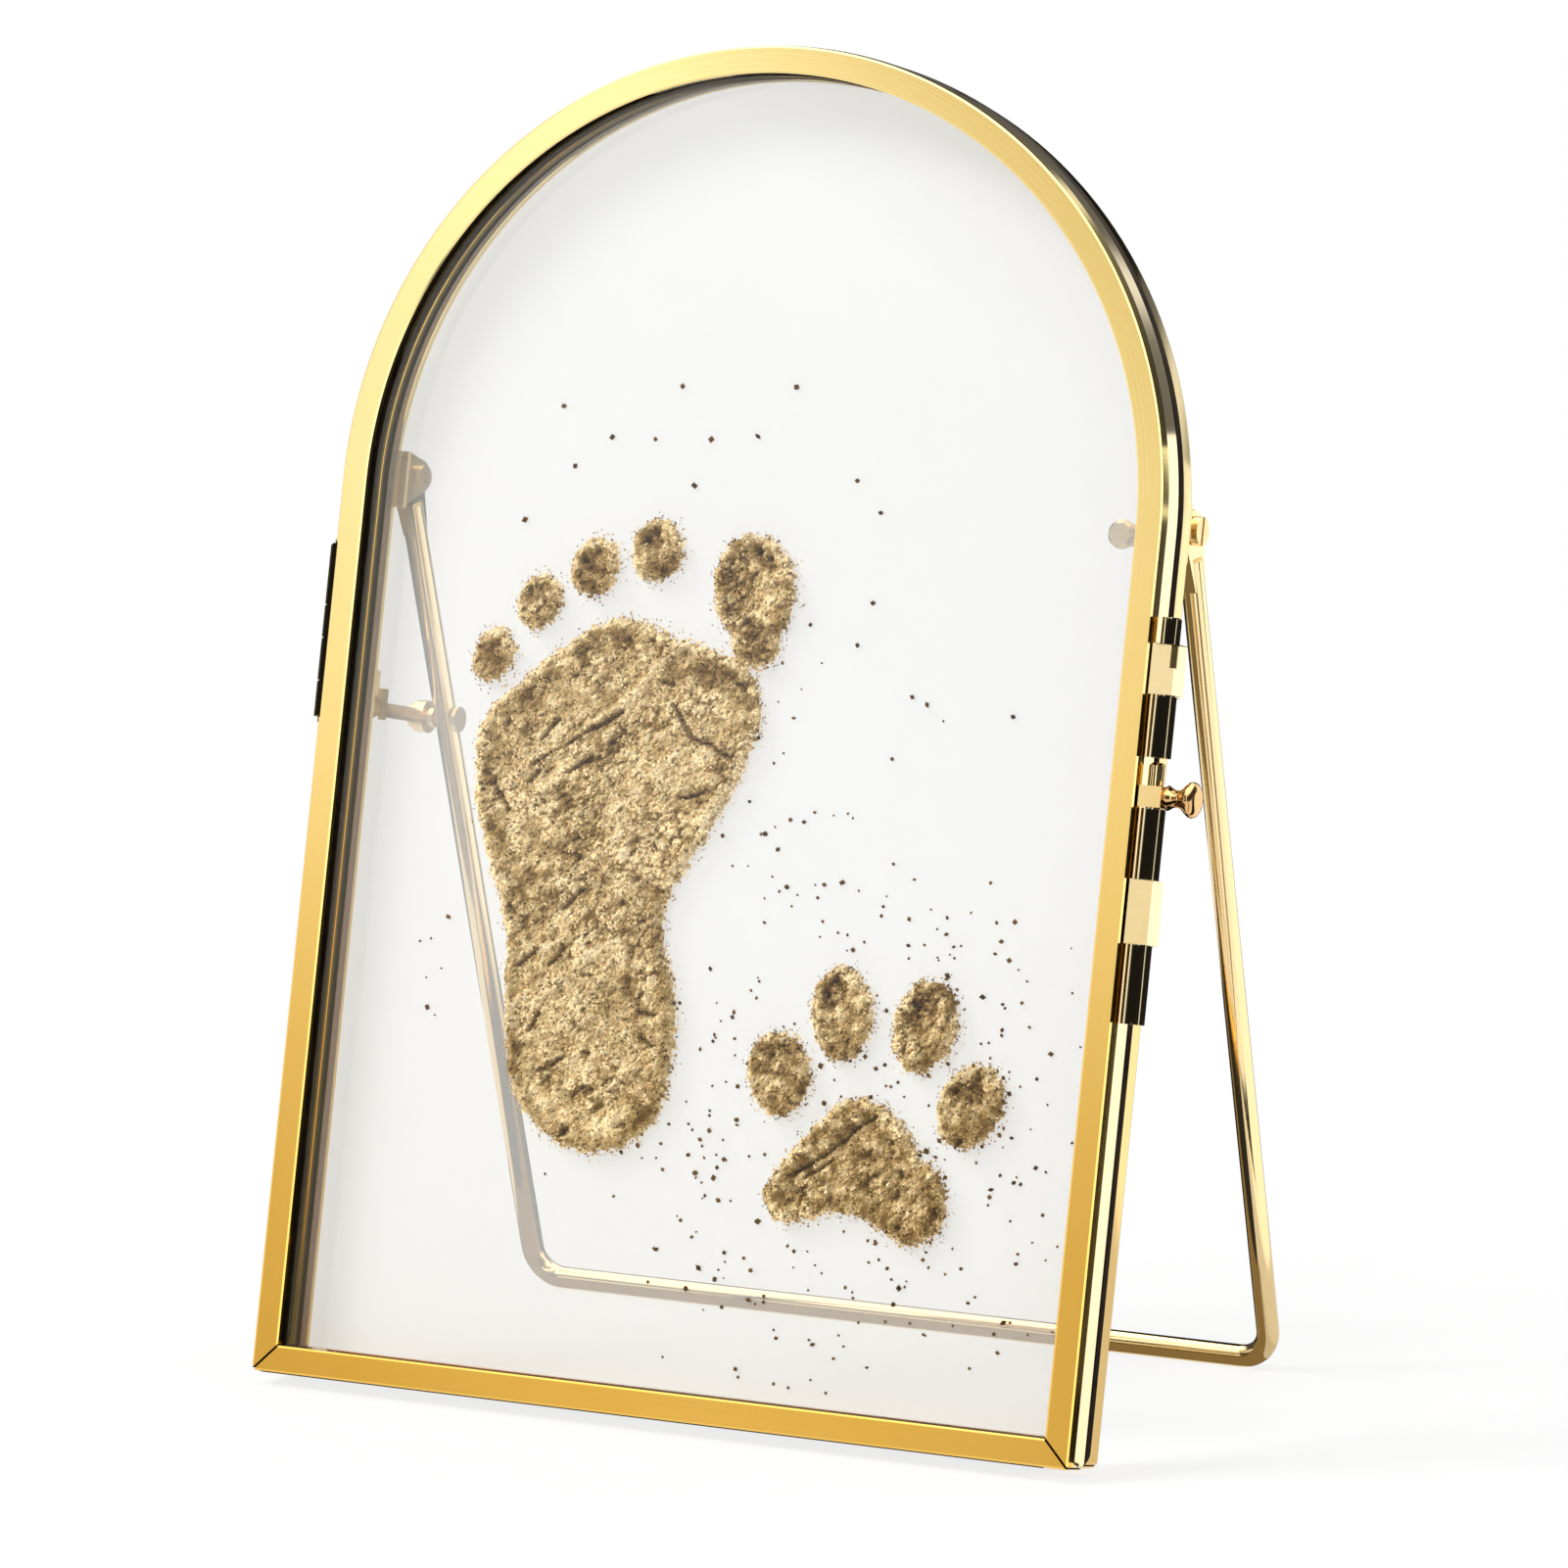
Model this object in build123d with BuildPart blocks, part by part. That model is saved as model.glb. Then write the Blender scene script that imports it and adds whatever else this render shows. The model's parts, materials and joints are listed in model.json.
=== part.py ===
"""Arched double-glass keepsake frame on a folding wire stand.

Local sizes are given across the frame (u, from its middle), up its leaning face (v, from its
bottom edge) and into its depth (n, from its front face). All lengths are in millimetres.
"""

import os
from math import cos, radians, sin

from build123d import *

# Frame outline: straight rails, a half-round top and a flat foot
frame_width = 134.4
frame_height = 200.0
rail_face = 4.2
front_depth = 5.0
groove = 1.2
back_depth = 4.6
lean = 12.4
edge_bevel = 0.4
groove_bevel = 0.45
back_round = 1.0

# Channel section and the glass in it
lip = 1.2
web = 1.3
glass_thickness = 2.0
glass_play = 0.1
glass_edge_play = 0.3
rebate_inset = 1.0
seat_gap = 0.15

# Butt hinge on the left side, knuckles listed from the lowest up
hinge_low = 97.4
knuckle_lengths = (5.3, 6.2, 4.7, 8.9)
knuckle_gap = 0.2
knuckle_radius = 1.8
hinge_pin_radius = 0.8
hinge_play = 0.05
hinge_pin_head = 0.8
leaf_thickness = 0.8
leaf_margin = 0.8
leaf_clearance = 0.15

# Barrel bolt on the right side, stacked from the lowest piece up
latch_low = 63.5
guide_lower_barrel = 11.3
guide_sleeve = 9.2
guide_upper_barrel = 10.1
collar_height = 3.0
bolt_travel = 3.9
keeper_barrel = 8.9
keeper_sleeve = 7.2
keeper_stub = 3.8
keeper_stub_radius = 1.4
bolt_engagement = 3.2
bolt_radius = 1.2
bolt_play = 0.08
barrel_radius = 1.75
bolt_outset = 2.0
bolt_depth = 2.0
side_clearance = 0.3
guide_plate = 0.8
plate_margin = 0.6
sleeve_half = 1.9
sleeve_window = 3.4
sleeve_window_width = 1.1
sleeve_window_depth = 0.7
knob_reach = 8.8
knob_radius = 2.6
knob_base_radius = 1.5
knob_stem_radius = 1.1
knob_head = 1.7
knob_rim = 0.8
knob_tip_radius = 1.5

# Wire stand and its pivots
pivot_above_spring = 1.8
pivot_offset = 4.4
spread = 27.7
wire_radius = 1.7
leg_top_inset = 3.2
leg_foot_inset = 5.0
foot_bend = 5.0
eye_radius = 3.0
eye_thickness = 2.2
eye_neck = 9.0
pivot_radius = 1.2
pivot_play = 0.05
screw_head_radius = 2.1
screw_head_height = 1.2
screw_slot = 0.6
ring_radius = 1.8
ring_height = 0.8
ring_hole = 0.8
bracket_thickness = 1.0
bracket_gap = 0.3
bracket_foot = 0.8
bracket_above = 3.4
bracket_below = 5.0
bracket_round = 2.6

# Screw lug on the right bracket, seen through the glass
lug_reach = 4.9
lug_height = 3.2
lug_tip_radius = 1.9
lug_drop = 1.6
lug_screw_head = 1.1
lug_screw_radius = 1.1
lug_tail_radius = 1.6
lug_tail_height = 0.8

# Stay between the left rail and the left leg
stay_along_leg = 39.4
stay_lane = 0.2
stay_length = 17.5
stay_radius = 1.1
stay_eye_radius = 2.45
stay_eye_thickness = 1.8
stay_head_radius = 1.6
stay_head_height = 1.2
stay_pin_radius = 1.0
stay_play = 0.05
stay_side_gap = 0.2
stay_shoulder_radius = 1.5
stay_pin_head_radius = 1.9
stay_pin_head_height = 0.6
clip_gap = 0.2
clip_wall = 1.3
clip_play = 0.25
clip_cheek = 0.6
clip_grip = 1.6
clip_arm = 1.2
clip_foot = 0.8

# Sand prints on the back glass
sand_thickness = 1.2

# Values that follow from the sizes above
half_width = frame_width / 2
spring = frame_height - half_width
depth = front_depth + groove + back_depth
back_front = front_depth + groove
slot = glass_thickness + 2 * glass_play
tilt = radians(lean)
swing_out = radians(spread - lean)
pivot_v = spring + pivot_above_spring
pivot_n = depth + pivot_offset
hinge_u = -half_width - knuckle_radius
hinge_n = front_depth + groove / 2
bolt_u = half_width + bolt_outset
floor_lift = depth * sin(tilt) - back_round * (cos(tilt) + sin(tilt) - 1)
pivot_z = floor_lift + pivot_v * cos(tilt) - pivot_n * sin(tilt)
leg_length = (pivot_z - wire_radius) / cos(swing_out)
foot_y = pivot_v * sin(tilt) + pivot_n * cos(tilt) + leg_length * sin(swing_out)
leg_top_u = half_width - leg_top_inset
leg_foot_u = half_width - leg_foot_inset

# The origin is under the middle of the whole object's box
left_reach = half_width + 2 * knuckle_radius
right_reach = half_width + knob_reach
shift_x = (left_reach - right_reach) / 2
shift_y = -(edge_bevel * sin(tilt) + foot_y + wire_radius) / 2
front_dir = Vector(0, -cos(tilt), sin(tilt))
up_dir = Vector(0, sin(tilt), cos(tilt))
lean_plane = Plane(origin=(shift_x, shift_y, floor_lift), x_dir=(1, 0, 0), z_dir=front_dir)
front_axis = Axis((0, 0, 0), front_dir)


def face_plane(n):
    """Plane parallel to the face at depth n: sketch in (u, v), positive extrusion to the front."""
    return lean_plane.offset(-n)


def side_plane(u):
    """Plane across the frame at u: sketch in (n, v), positive extrusion to the right."""
    return Plane(origin=lean_plane.from_local_coords((u, 0, 0)), x_dir=-front_dir, z_dir=(1, 0, 0))


def level_plane(v):
    """Plane square to the rails at height v: sketch in (u, n), positive extrusion upwards."""
    return Plane(origin=lean_plane.from_local_coords((0, v, 0)), x_dir=(1, 0, 0), z_dir=up_dir)


pivot_middle = lean_plane.from_local_coords((0, pivot_v, -pivot_n))
stand_plane = Plane(
    origin=pivot_middle,
    x_dir=(1, 0, 0),
    z_dir=(0, -cos(swing_out), -sin(swing_out)),
)


def leg_side_plane(u):
    """Plane across a leg at u: sketch in (behind the leg, up the leg), extrusion to the right."""
    return Plane(
        origin=stand_plane.from_local_coords((u, 0, 0)),
        x_dir=(0, cos(swing_out), sin(swing_out)),
        z_dir=(1, 0, 0),
    )


def arch_sketch(inset):
    """Outline of the frame drawn in by inset on every side."""
    half = half_width - inset
    with BuildSketch() as outline:
        with BuildLine():
            Polyline((-half, spring), (-half, inset), (half, inset), (half, spring))
            ThreePointArc((half, spring), (0, spring + half), (-half, spring))
        make_face()
    return outline.sketch


def mitre_sketch():
    """Foot rail's outline with its mitred ends."""
    with BuildSketch() as outline:
        with BuildLine():
            Polyline(
                (-half_width, 0),
                (half_width, 0),
                (half_width - rail_face, rail_face),
                (rail_face - half_width, rail_face),
                close=True,
            )
        make_face()
    return outline.sketch


# Front ring: a channel with its slot towards the glass and bevelled edges
with BuildPart() as front_ring:
    with BuildSketch(face_plane(0)):
        add(arch_sketch(0))
        add(arch_sketch(rail_face), mode=Mode.SUBTRACT)
    extrude(amount=-front_depth)
    with BuildSketch(face_plane(lip)):
        add(arch_sketch(web))
    extrude(amount=-slot, mode=Mode.SUBTRACT)
    chamfer(front_ring.faces().sort_by(front_axis)[-1].edges(), length=edge_bevel)

# Back ring: the same channel with a rebate that fills the bevelled groove and a rounded back edge
with BuildPart() as back_ring:
    with BuildSketch(face_plane(back_front)):
        add(arch_sketch(0))
        add(arch_sketch(rail_face), mode=Mode.SUBTRACT)
    extrude(amount=-back_depth)
    chamfer(back_ring.faces().sort_by(front_axis)[-1].outer_wire().edges(), length=groove_bevel)
    fillet(back_ring.faces().sort_by(front_axis)[0].outer_wire().edges(), radius=back_round)
    with BuildSketch(face_plane(front_depth + seat_gap)):
        add(arch_sketch(rebate_inset))
        add(arch_sketch(rail_face), mode=Mode.SUBTRACT)
    extrude(amount=seat_gap - groove)
    with BuildSketch(face_plane(back_front + lip)):
        add(arch_sketch(web))
    extrude(amount=-slot, mode=Mode.SUBTRACT)


def arch_of(ring):
    """The bent strip of a ring, cut off at the foot rail's mitres."""
    with BuildPart() as strip:
        add(ring.part)
        with BuildSketch(face_plane(0)):
            add(mitre_sketch())
        extrude(amount=-depth, mode=Mode.SUBTRACT)
    return strip


def rail_of(ring):
    """The foot rail of a ring, with mitred ends."""
    with BuildPart() as strip:
        add(ring.part)
        with BuildSketch(face_plane(0)):
            add(mitre_sketch())
        extrude(amount=-depth, mode=Mode.INTERSECT)
    return strip


def pane(front_n):
    """Glass pane held in the slot of the ring that starts at front_n."""
    with BuildPart() as glass:
        with BuildSketch(face_plane(front_n + lip + glass_play)):
            add(arch_sketch(web + glass_edge_play))
        extrude(amount=-glass_thickness)
    return glass


front_arch_channel = arch_of(front_ring)
front_bottom_rail = rail_of(front_ring)
front_glass = pane(0)
back_arch_channel = arch_of(back_ring)
back_bottom_rail = rail_of(back_ring)
back_glass = pane(back_front)

# Hinge: knuckle spans from the lowest up, taken in turn by the door and the back frame
knuckle_spans = []
knuckle_v = hinge_low
for length in knuckle_lengths:
    knuckle_spans.append((knuckle_v, length))
    knuckle_v += length + knuckle_gap
hinge_length = knuckle_v - knuckle_gap - hinge_low
leaf_outset = knuckle_radius - leaf_thickness
leaf_back_off = ((knuckle_radius + leaf_clearance) ** 2 - leaf_outset**2) ** 0.5
leaf_u = -half_width - leaf_thickness / 2


def hinge_leaf(spans, near_n, far_n):
    """Leaf on the rail's side from near_n, by the barrel, to far_n, with its knuckles."""
    with BuildPart() as leaf:
        with BuildSketch(level_plane(hinge_low)):
            with Locations((leaf_u, (near_n + far_n) / 2)):
                Rectangle(leaf_thickness, abs(far_n - near_n))
        extrude(amount=hinge_length)
        for low, length in spans:
            with BuildSketch(level_plane(low)):
                with Locations((leaf_u, (near_n + hinge_n) / 2)):
                    Rectangle(leaf_thickness, abs(near_n - hinge_n))
                with Locations((hinge_u, hinge_n)):
                    Circle(knuckle_radius)
                    Circle(hinge_pin_radius + hinge_play, mode=Mode.SUBTRACT)
            extrude(amount=length)
    return leaf


hinge_front_leaf = hinge_leaf(knuckle_spans[0::2], hinge_n - leaf_back_off, leaf_margin)
hinge_back_leaf = hinge_leaf(knuckle_spans[1::2], hinge_n + leaf_back_off, depth - leaf_margin)

with BuildPart() as hinge_pin:
    with BuildSketch(level_plane(hinge_low)):
        with Locations((hinge_u, hinge_n)):
            Circle(hinge_pin_radius)
    extrude(amount=hinge_length)
    with BuildSketch(level_plane(hinge_low - hinge_pin_head), level_plane(hinge_low + hinge_length)):
        with Locations((hinge_u, hinge_n)):
            Circle(hinge_pin_radius + hinge_pin_head / 2)
    extrude(amount=hinge_pin_head)

# Barrel bolt: heights of the stacked pieces
guide_sleeve_v = latch_low + guide_lower_barrel
guide_upper_v = guide_sleeve_v + guide_sleeve
collar_v = guide_upper_v + guide_upper_barrel + seat_gap
keeper_v = collar_v + collar_height + bolt_travel + seat_gap
keeper_sleeve_v = keeper_v + keeper_barrel
keeper_stub_v = keeper_sleeve_v + keeper_sleeve
bolt_end_v = keeper_v + bolt_engagement - bolt_travel
bolt_tip_v = latch_low + plate_margin
plate_u = half_width + side_clearance
plate_end_n = depth - back_round
sleeve_out_u = bolt_u + sleeve_half
bolt_hole = bolt_radius + bolt_play


def latch_strap(sleeve_v, sleeve_height, seat_near_n, seat_far_n, window_n, barrels):
    """Strap round the bolt's line: a stepped plate seated on one frame's side, a square sleeve
    with a small window at its top, and round barrels given by height, length and radius."""
    sleeve_width = sleeve_out_u - plate_u
    with BuildPart() as strap:
        with BuildSketch(level_plane(sleeve_v)):
            with Locations((plate_u + guide_plate / 2, (plate_margin + plate_end_n) / 2)):
                Rectangle(guide_plate, plate_end_n - plate_margin)
            with Locations((half_width + side_clearance / 2, (seat_near_n + seat_far_n) / 2)):
                Rectangle(side_clearance, seat_far_n - seat_near_n)
            with Locations((plate_u + sleeve_width / 2, bolt_depth)):
                Rectangle(sleeve_width, 2 * sleeve_half)
        extrude(amount=sleeve_height)
        with BuildSketch(side_plane(sleeve_out_u)):
            with Locations((window_n, sleeve_v + sleeve_height - sleeve_window / 2)):
                Rectangle(sleeve_window_width, sleeve_window)
        extrude(amount=-sleeve_window_depth, mode=Mode.SUBTRACT)
        for low, length, radius in barrels:
            with BuildSketch(level_plane(low)):
                with Locations((bolt_u, bolt_depth)):
                    Circle(radius)
            extrude(amount=length)
    return strap


def bored_strap(strap, low, length):
    """A strap with the bolt's bore cut from low over length."""
    with BuildPart() as bored:
        add(strap.part)
        with BuildSketch(level_plane(low)):
            with Locations((bolt_u, bolt_depth)):
                Circle(bolt_hole)
        extrude(amount=length, mode=Mode.SUBTRACT)
    return bored


# Guide on the back frame, reaching over the door's side
latch_guide = bored_strap(
    latch_strap(
        guide_sleeve_v,
        guide_sleeve,
        back_front + plate_margin,
        plate_end_n,
        bolt_depth + sleeve_half - sleeve_window_width / 2,
        [
            (latch_low, guide_lower_barrel, barrel_radius),
            (guide_upper_v, guide_upper_barrel, barrel_radius),
        ],
    ),
    latch_low,
    guide_lower_barrel + guide_sleeve + guide_upper_barrel,
)

# Keeper on the door, reaching over the back frame's side
latch_keeper = bored_strap(
    latch_strap(
        keeper_sleeve_v,
        keeper_sleeve,
        plate_margin,
        front_depth - plate_margin,
        bolt_depth - sleeve_half + sleeve_window_width / 2,
        [
            (keeper_v, keeper_barrel, barrel_radius),
            (keeper_stub_v, keeper_stub, keeper_stub_radius),
        ],
    ),
    keeper_v,
    keeper_barrel,
)

with BuildPart() as latch_bolt:
    with BuildSketch(level_plane(bolt_tip_v)):
        with Locations((bolt_u, bolt_depth)):
            Circle(bolt_radius)
    extrude(amount=bolt_end_v - bolt_tip_v)
    chamfer(latch_bolt.faces().sort_by(Axis((0, 0, 0), up_dir))[0].edges(), length=edge_bevel)
    chamfer(latch_bolt.faces().sort_by(Axis((0, 0, 0), up_dir))[-1].edges(), length=edge_bevel)
    with BuildSketch(level_plane(collar_v)):
        with Locations((bolt_u, bolt_depth)):
            Rectangle(2 * barrel_radius, 2 * barrel_radius)
    extrude(amount=collar_height)

# Thumb knob: a waisted stem with a flared, bevelled head, turned about an axis across the frame
knob_v = collar_v + collar_height / 2
knob_start = bolt_u + barrel_radius
knob_end = half_width + knob_reach
knob_crown = knob_end - knob_head
knob_waist = (knob_start + knob_crown) / 2
knob_origin = lean_plane.from_local_coords((0, knob_v, -bolt_depth))
with BuildPart() as latch_knob:
    with BuildSketch(face_plane(bolt_depth)):
        with BuildLine():
            Polyline(
                (knob_start, knob_v),
                (knob_start, knob_v + knob_base_radius),
                (knob_waist, knob_v + knob_stem_radius),
                (knob_crown, knob_v + knob_radius),
                (knob_end - knob_rim, knob_v + knob_radius),
                (knob_end, knob_v + knob_tip_radius),
                (knob_end, knob_v),
                close=True,
            )
        make_face()
    revolve(axis=Axis(knob_origin, (1, 0, 0)))

# Stand: one bent wire with flattened eyes at its tops
with BuildPart() as stand_wire:
    with BuildLine(stand_plane) as wire_path:
        FilletPolyline(
            (-leg_top_u, -eye_neck / 2),
            (-leg_foot_u, -leg_length),
            (leg_foot_u, -leg_length),
            (leg_top_u, -eye_neck / 2),
            radius=foot_bend,
        )
    with BuildSketch(Plane(origin=wire_path.line @ 0, z_dir=wire_path.line % 0)):
        Circle(wire_radius)
    sweep(path=wire_path.line)
    for leg_u in (-leg_top_u, leg_top_u):
        with BuildSketch(leg_side_plane(leg_u - eye_thickness / 2)):
            with BuildLine():
                Polyline(
                    (-eye_radius, 0),
                    (-wire_radius, -eye_neck),
                    (wire_radius, -eye_neck),
                    (eye_radius, 0),
                )
                ThreePointArc((eye_radius, 0), (0, eye_radius), (-eye_radius, 0))
            make_face()
        extrude(amount=eye_thickness)
        with BuildSketch(leg_side_plane(leg_u - wire_radius)):
            Circle(pivot_radius + pivot_play)
        extrude(amount=2 * wire_radius, mode=Mode.SUBTRACT)
    with BuildSketch(leg_side_plane(-half_width)):
        with Locations((0, -stay_along_leg)):
            Circle(stay_pin_radius + stay_play)
    extrude(amount=half_width, mode=Mode.SUBTRACT)

# Stand brackets: a tab across the frame on a foot that sits on the back rail
tab_outer_u = leg_top_u - eye_thickness / 2 - bracket_gap
tab_inner_u = tab_outer_u - bracket_thickness
foot_outer_u = half_width - back_round
bracket_mid_v = pivot_v + (bracket_above - bracket_below) / 2
lug_v = pivot_v - lug_drop
lug_screw_u = tab_inner_u - lug_reach


def stand_bracket(sign):
    """Bracket on the left (sign -1) or right (sign 1) rail; the right one has a screw lug."""
    low_u = min(sign * tab_inner_u, sign * tab_outer_u)
    with BuildPart() as bracket:
        with BuildSketch(side_plane(low_u)):
            with BuildLine():
                Polyline(
                    (depth, pivot_v - bracket_below),
                    (depth, pivot_v + bracket_above),
                    (pivot_n, pivot_v + bracket_round),
                    (pivot_n, pivot_v - bracket_round),
                    close=True,
                )
            make_face()
            with Locations((pivot_n, pivot_v)):
                Circle(bracket_round)
                Circle(pivot_radius + pivot_play, mode=Mode.SUBTRACT)
        extrude(amount=bracket_thickness)
        with BuildSketch(face_plane(depth)):
            with Locations((sign * (tab_inner_u + foot_outer_u) / 2, bracket_mid_v)):
                Rectangle(foot_outer_u - tab_inner_u, bracket_above + bracket_below)
            if sign > 0:
                with Locations((tab_inner_u - lug_reach / 2, lug_v)):
                    Rectangle(lug_reach, lug_height)
                with Locations((lug_screw_u, lug_v)):
                    Circle(lug_tip_radius)
                with Locations((lug_screw_u, lug_v)):
                    Circle(lug_screw_radius + pivot_play, mode=Mode.SUBTRACT)
        extrude(amount=-bracket_foot)
    return bracket


stand_bracket_left = stand_bracket(-1)
stand_bracket_right = stand_bracket(1)

# Slotted screw in the right bracket's lug, facing the glass
with BuildPart() as bracket_screw:
    with BuildSketch(face_plane(depth)):
        with Locations((lug_screw_u, lug_v)):
            Circle(screw_head_radius)
    extrude(amount=lug_screw_head)
    chamfer(bracket_screw.faces().sort_by(front_axis)[-1].edges(), length=lug_screw_head / 2)
    with BuildSketch(face_plane(depth - lug_screw_head)):
        with Locations((lug_screw_u, lug_v)):
            Rectangle(2 * screw_head_radius, screw_slot)
    extrude(amount=-screw_slot, mode=Mode.SUBTRACT)
    with BuildSketch(face_plane(depth)):
        with Locations((lug_screw_u, lug_v)):
            Circle(lug_screw_radius)
    extrude(amount=-bracket_foot)
    with BuildSketch(face_plane(depth + bracket_foot)):
        with Locations((lug_screw_u, lug_v)):
            Circle(lug_tail_radius)
    extrude(amount=-lug_tail_height)

# Pivot screws: a slotted head outside the leg's eye, a hollow ring end inside the tab
head_u = leg_top_u + eye_thickness / 2 + bracket_gap / 2
with BuildPart() as stand_pivot_screws:
    for sign in (-1, 1):
        with BuildSketch(side_plane(sign * head_u)):
            with Locations((pivot_n, pivot_v)):
                Circle(screw_head_radius)
        extrude(amount=sign * screw_head_height)
        with BuildSketch(side_plane(sign * (head_u + screw_head_height))):
            with Locations((pivot_n, pivot_v)):
                Rectangle(screw_slot, 2 * screw_head_radius)
        extrude(amount=-sign * screw_slot, mode=Mode.SUBTRACT)
        with BuildSketch(side_plane(sign * head_u)):
            with Locations((pivot_n, pivot_v)):
                Circle(pivot_radius)
        extrude(amount=sign * (tab_inner_u - head_u))
        with BuildSketch(side_plane(sign * tab_inner_u)):
            with Locations((pivot_n, pivot_v)):
                Circle(ring_radius)
        extrude(amount=-sign * ring_height)
        with BuildSketch(side_plane(sign * (tab_inner_u - ring_height))):
            with Locations((pivot_n, pivot_v)):
                Circle(ring_hole)
        extrude(amount=sign * 2 * ring_height, mode=Mode.SUBTRACT)

# Stay: a headed rod on a pin through the left leg, its head behind a spring clip on the rail
stay_u = -half_width - stay_lane
stay_v = pivot_v - stay_along_leg * cos(radians(spread))
stay_n = pivot_n + stay_along_leg * sin(radians(spread))
stay_tip_n = stay_n - stay_length
with BuildPart() as stay_rod:
    with BuildSketch(face_plane(stay_tip_n)):
        with Locations((stay_u, stay_v)):
            Circle(stay_radius)
    extrude(amount=-stay_length)
    with BuildSketch(face_plane(stay_tip_n)):
        with Locations((stay_u, stay_v)):
            Circle(stay_head_radius)
    extrude(amount=-stay_head_height)
    with BuildSketch(side_plane(stay_u - stay_eye_thickness / 2)):
        with Locations((stay_n, stay_v)):
            Circle(stay_eye_radius)
    extrude(amount=stay_eye_thickness)
    with BuildSketch(side_plane(stay_u - stay_eye_radius)):
        with Locations((stay_n, stay_v)):
            Circle(stay_pin_radius + stay_play)
    extrude(amount=2 * stay_eye_radius, mode=Mode.SUBTRACT)

leg_at_stay_u = -leg_top_u + (leg_top_u - leg_foot_u) * stay_along_leg / leg_length
leg_outer_u = leg_at_stay_u - wire_radius - stay_play
pin_inner_u = leg_at_stay_u + wire_radius + stay_play
pin_outer_u = stay_u - stay_radius - stay_side_gap
shoulder_u = stay_u + stay_radius + stay_side_gap
with BuildPart() as stay_pin:
    with BuildSketch(side_plane(pin_outer_u)):
        with Locations((stay_n, stay_v)):
            Circle(stay_pin_radius)
    extrude(amount=pin_inner_u - pin_outer_u)
    with BuildSketch(side_plane(pin_outer_u - stay_pin_head_height), side_plane(pin_inner_u)):
        with Locations((stay_n, stay_v)):
            Circle(stay_pin_head_radius)
    extrude(amount=stay_pin_head_height)
    with BuildSketch(side_plane(shoulder_u)):
        with Locations((stay_n, stay_v)):
            Circle(stay_shoulder_radius)
    extrude(amount=leg_outer_u - shoulder_u)

clip_slot = stay_radius + clip_play
clip_half = clip_slot + clip_cheek
clip_front_n = stay_tip_n + stay_head_height + clip_gap
arm_low_v = stay_v + stay_head_radius + clip_play
arm_top_v = arm_low_v + clip_arm
clip_low_v = stay_v - clip_grip
clip_foot_inner_u = half_width - rail_face
with BuildPart() as stay_clip:
    with BuildSketch(face_plane(clip_front_n)):
        with Locations((stay_u, (clip_low_v + arm_top_v) / 2)):
            Rectangle(2 * clip_half, arm_top_v - clip_low_v)
        with Locations((stay_u, stay_v)):
            Circle(clip_slot, mode=Mode.SUBTRACT)
        with Locations((stay_u, stay_v - clip_grip)):
            Rectangle(2 * clip_slot, 2 * clip_grip, mode=Mode.SUBTRACT)
    extrude(amount=-clip_wall)
    with BuildSketch(face_plane(depth)):
        with Locations((stay_u, (arm_low_v + arm_top_v) / 2)):
            Rectangle(2 * clip_slot, clip_arm)
    extrude(amount=depth - clip_front_n)
    with BuildSketch(face_plane(depth)):
        with Locations((-(clip_foot_inner_u + foot_outer_u) / 2, arm_low_v + 1.5 * clip_arm)):
            Rectangle(foot_outer_u - clip_foot_inner_u, 3 * clip_arm)
    extrude(amount=-clip_foot)

# Sand prints, bound to the front of the back glass: a child's sole and toes, a dog's pad and toes
sand_n = back_front + lip + glass_play
sole_points = [
    (-42.8, 92.5),
    (-42.0, 99.8),
    (-38.0, 104.2),
    (-32.0, 109.5),
    (-25.8, 114.0),
    (-19.0, 115.5),
    (-12.6, 113.4),
    (-6.0, 112.0),
    (0.0, 110.4),
    (2.9, 105.0),
    (1.9, 97.0),
    (-1.6, 88.6),
    (-6.4, 80.0),
    (-9.2, 73.0),
    (-8.4, 67.0),
    (-5.6, 57.5),
    (-6.0, 49.0),
    (-9.0, 41.0),
    (-17.0, 37.2),
    (-26.5, 40.0),
    (-32.0, 47.0),
    (-34.0, 57.0),
    (-34.8, 67.5),
    (-37.6, 74.5),
    (-40.4, 81.0),
    (-42.2, 86.5),
]
foot_toes = [
    (-42.0, 108.6, 3.3, 4.2, -20),
    (-35.1, 116.9, 3.5, 4.1, -20),
    (-26.3, 122.6, 3.9, 4.5, -15),
    (-16.3, 125.7, 4.2, 4.7, -8),
    (0.2, 121.0, 6.7, 8.3, 12),
]
paw_points = [
    (19.9, 45.8),
    (24.5, 49.1),
    (29.5, 48.4),
    (33.5, 45.4),
    (36.2, 41.4),
    (39.8, 39.0),
    (40.8, 35.0),
    (39.2, 30.4),
    (35.0, 28.8),
    (31.0, 30.6),
    (26.5, 32.5),
    (21.5, 32.0),
    (17.5, 30.5),
    (12.6, 31.8),
    (12.1, 36.0),
    (15.5, 40.6),
]
paw_toes = [
    (12.0, 51.6, 5.0, 6.2, 14),
    (21.3, 61.0, 4.9, 6.9, 6),
    (34.7, 60.4, 5.0, 7.0, -14),
    (43.2, 49.6, 5.0, 6.4, -26),
]


def sand_patch(points):
    """Flat heap of sand whose outline is arcs: every second point joins two of them."""
    ring = points + points[:1]
    with BuildPart() as patch:
        with BuildSketch(face_plane(sand_n)):
            with BuildLine():
                for i in range(0, len(points), 2):
                    ThreePointArc(ring[i], ring[i + 1], ring[i + 2])
            make_face()
        extrude(amount=sand_thickness)
    return patch


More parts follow.
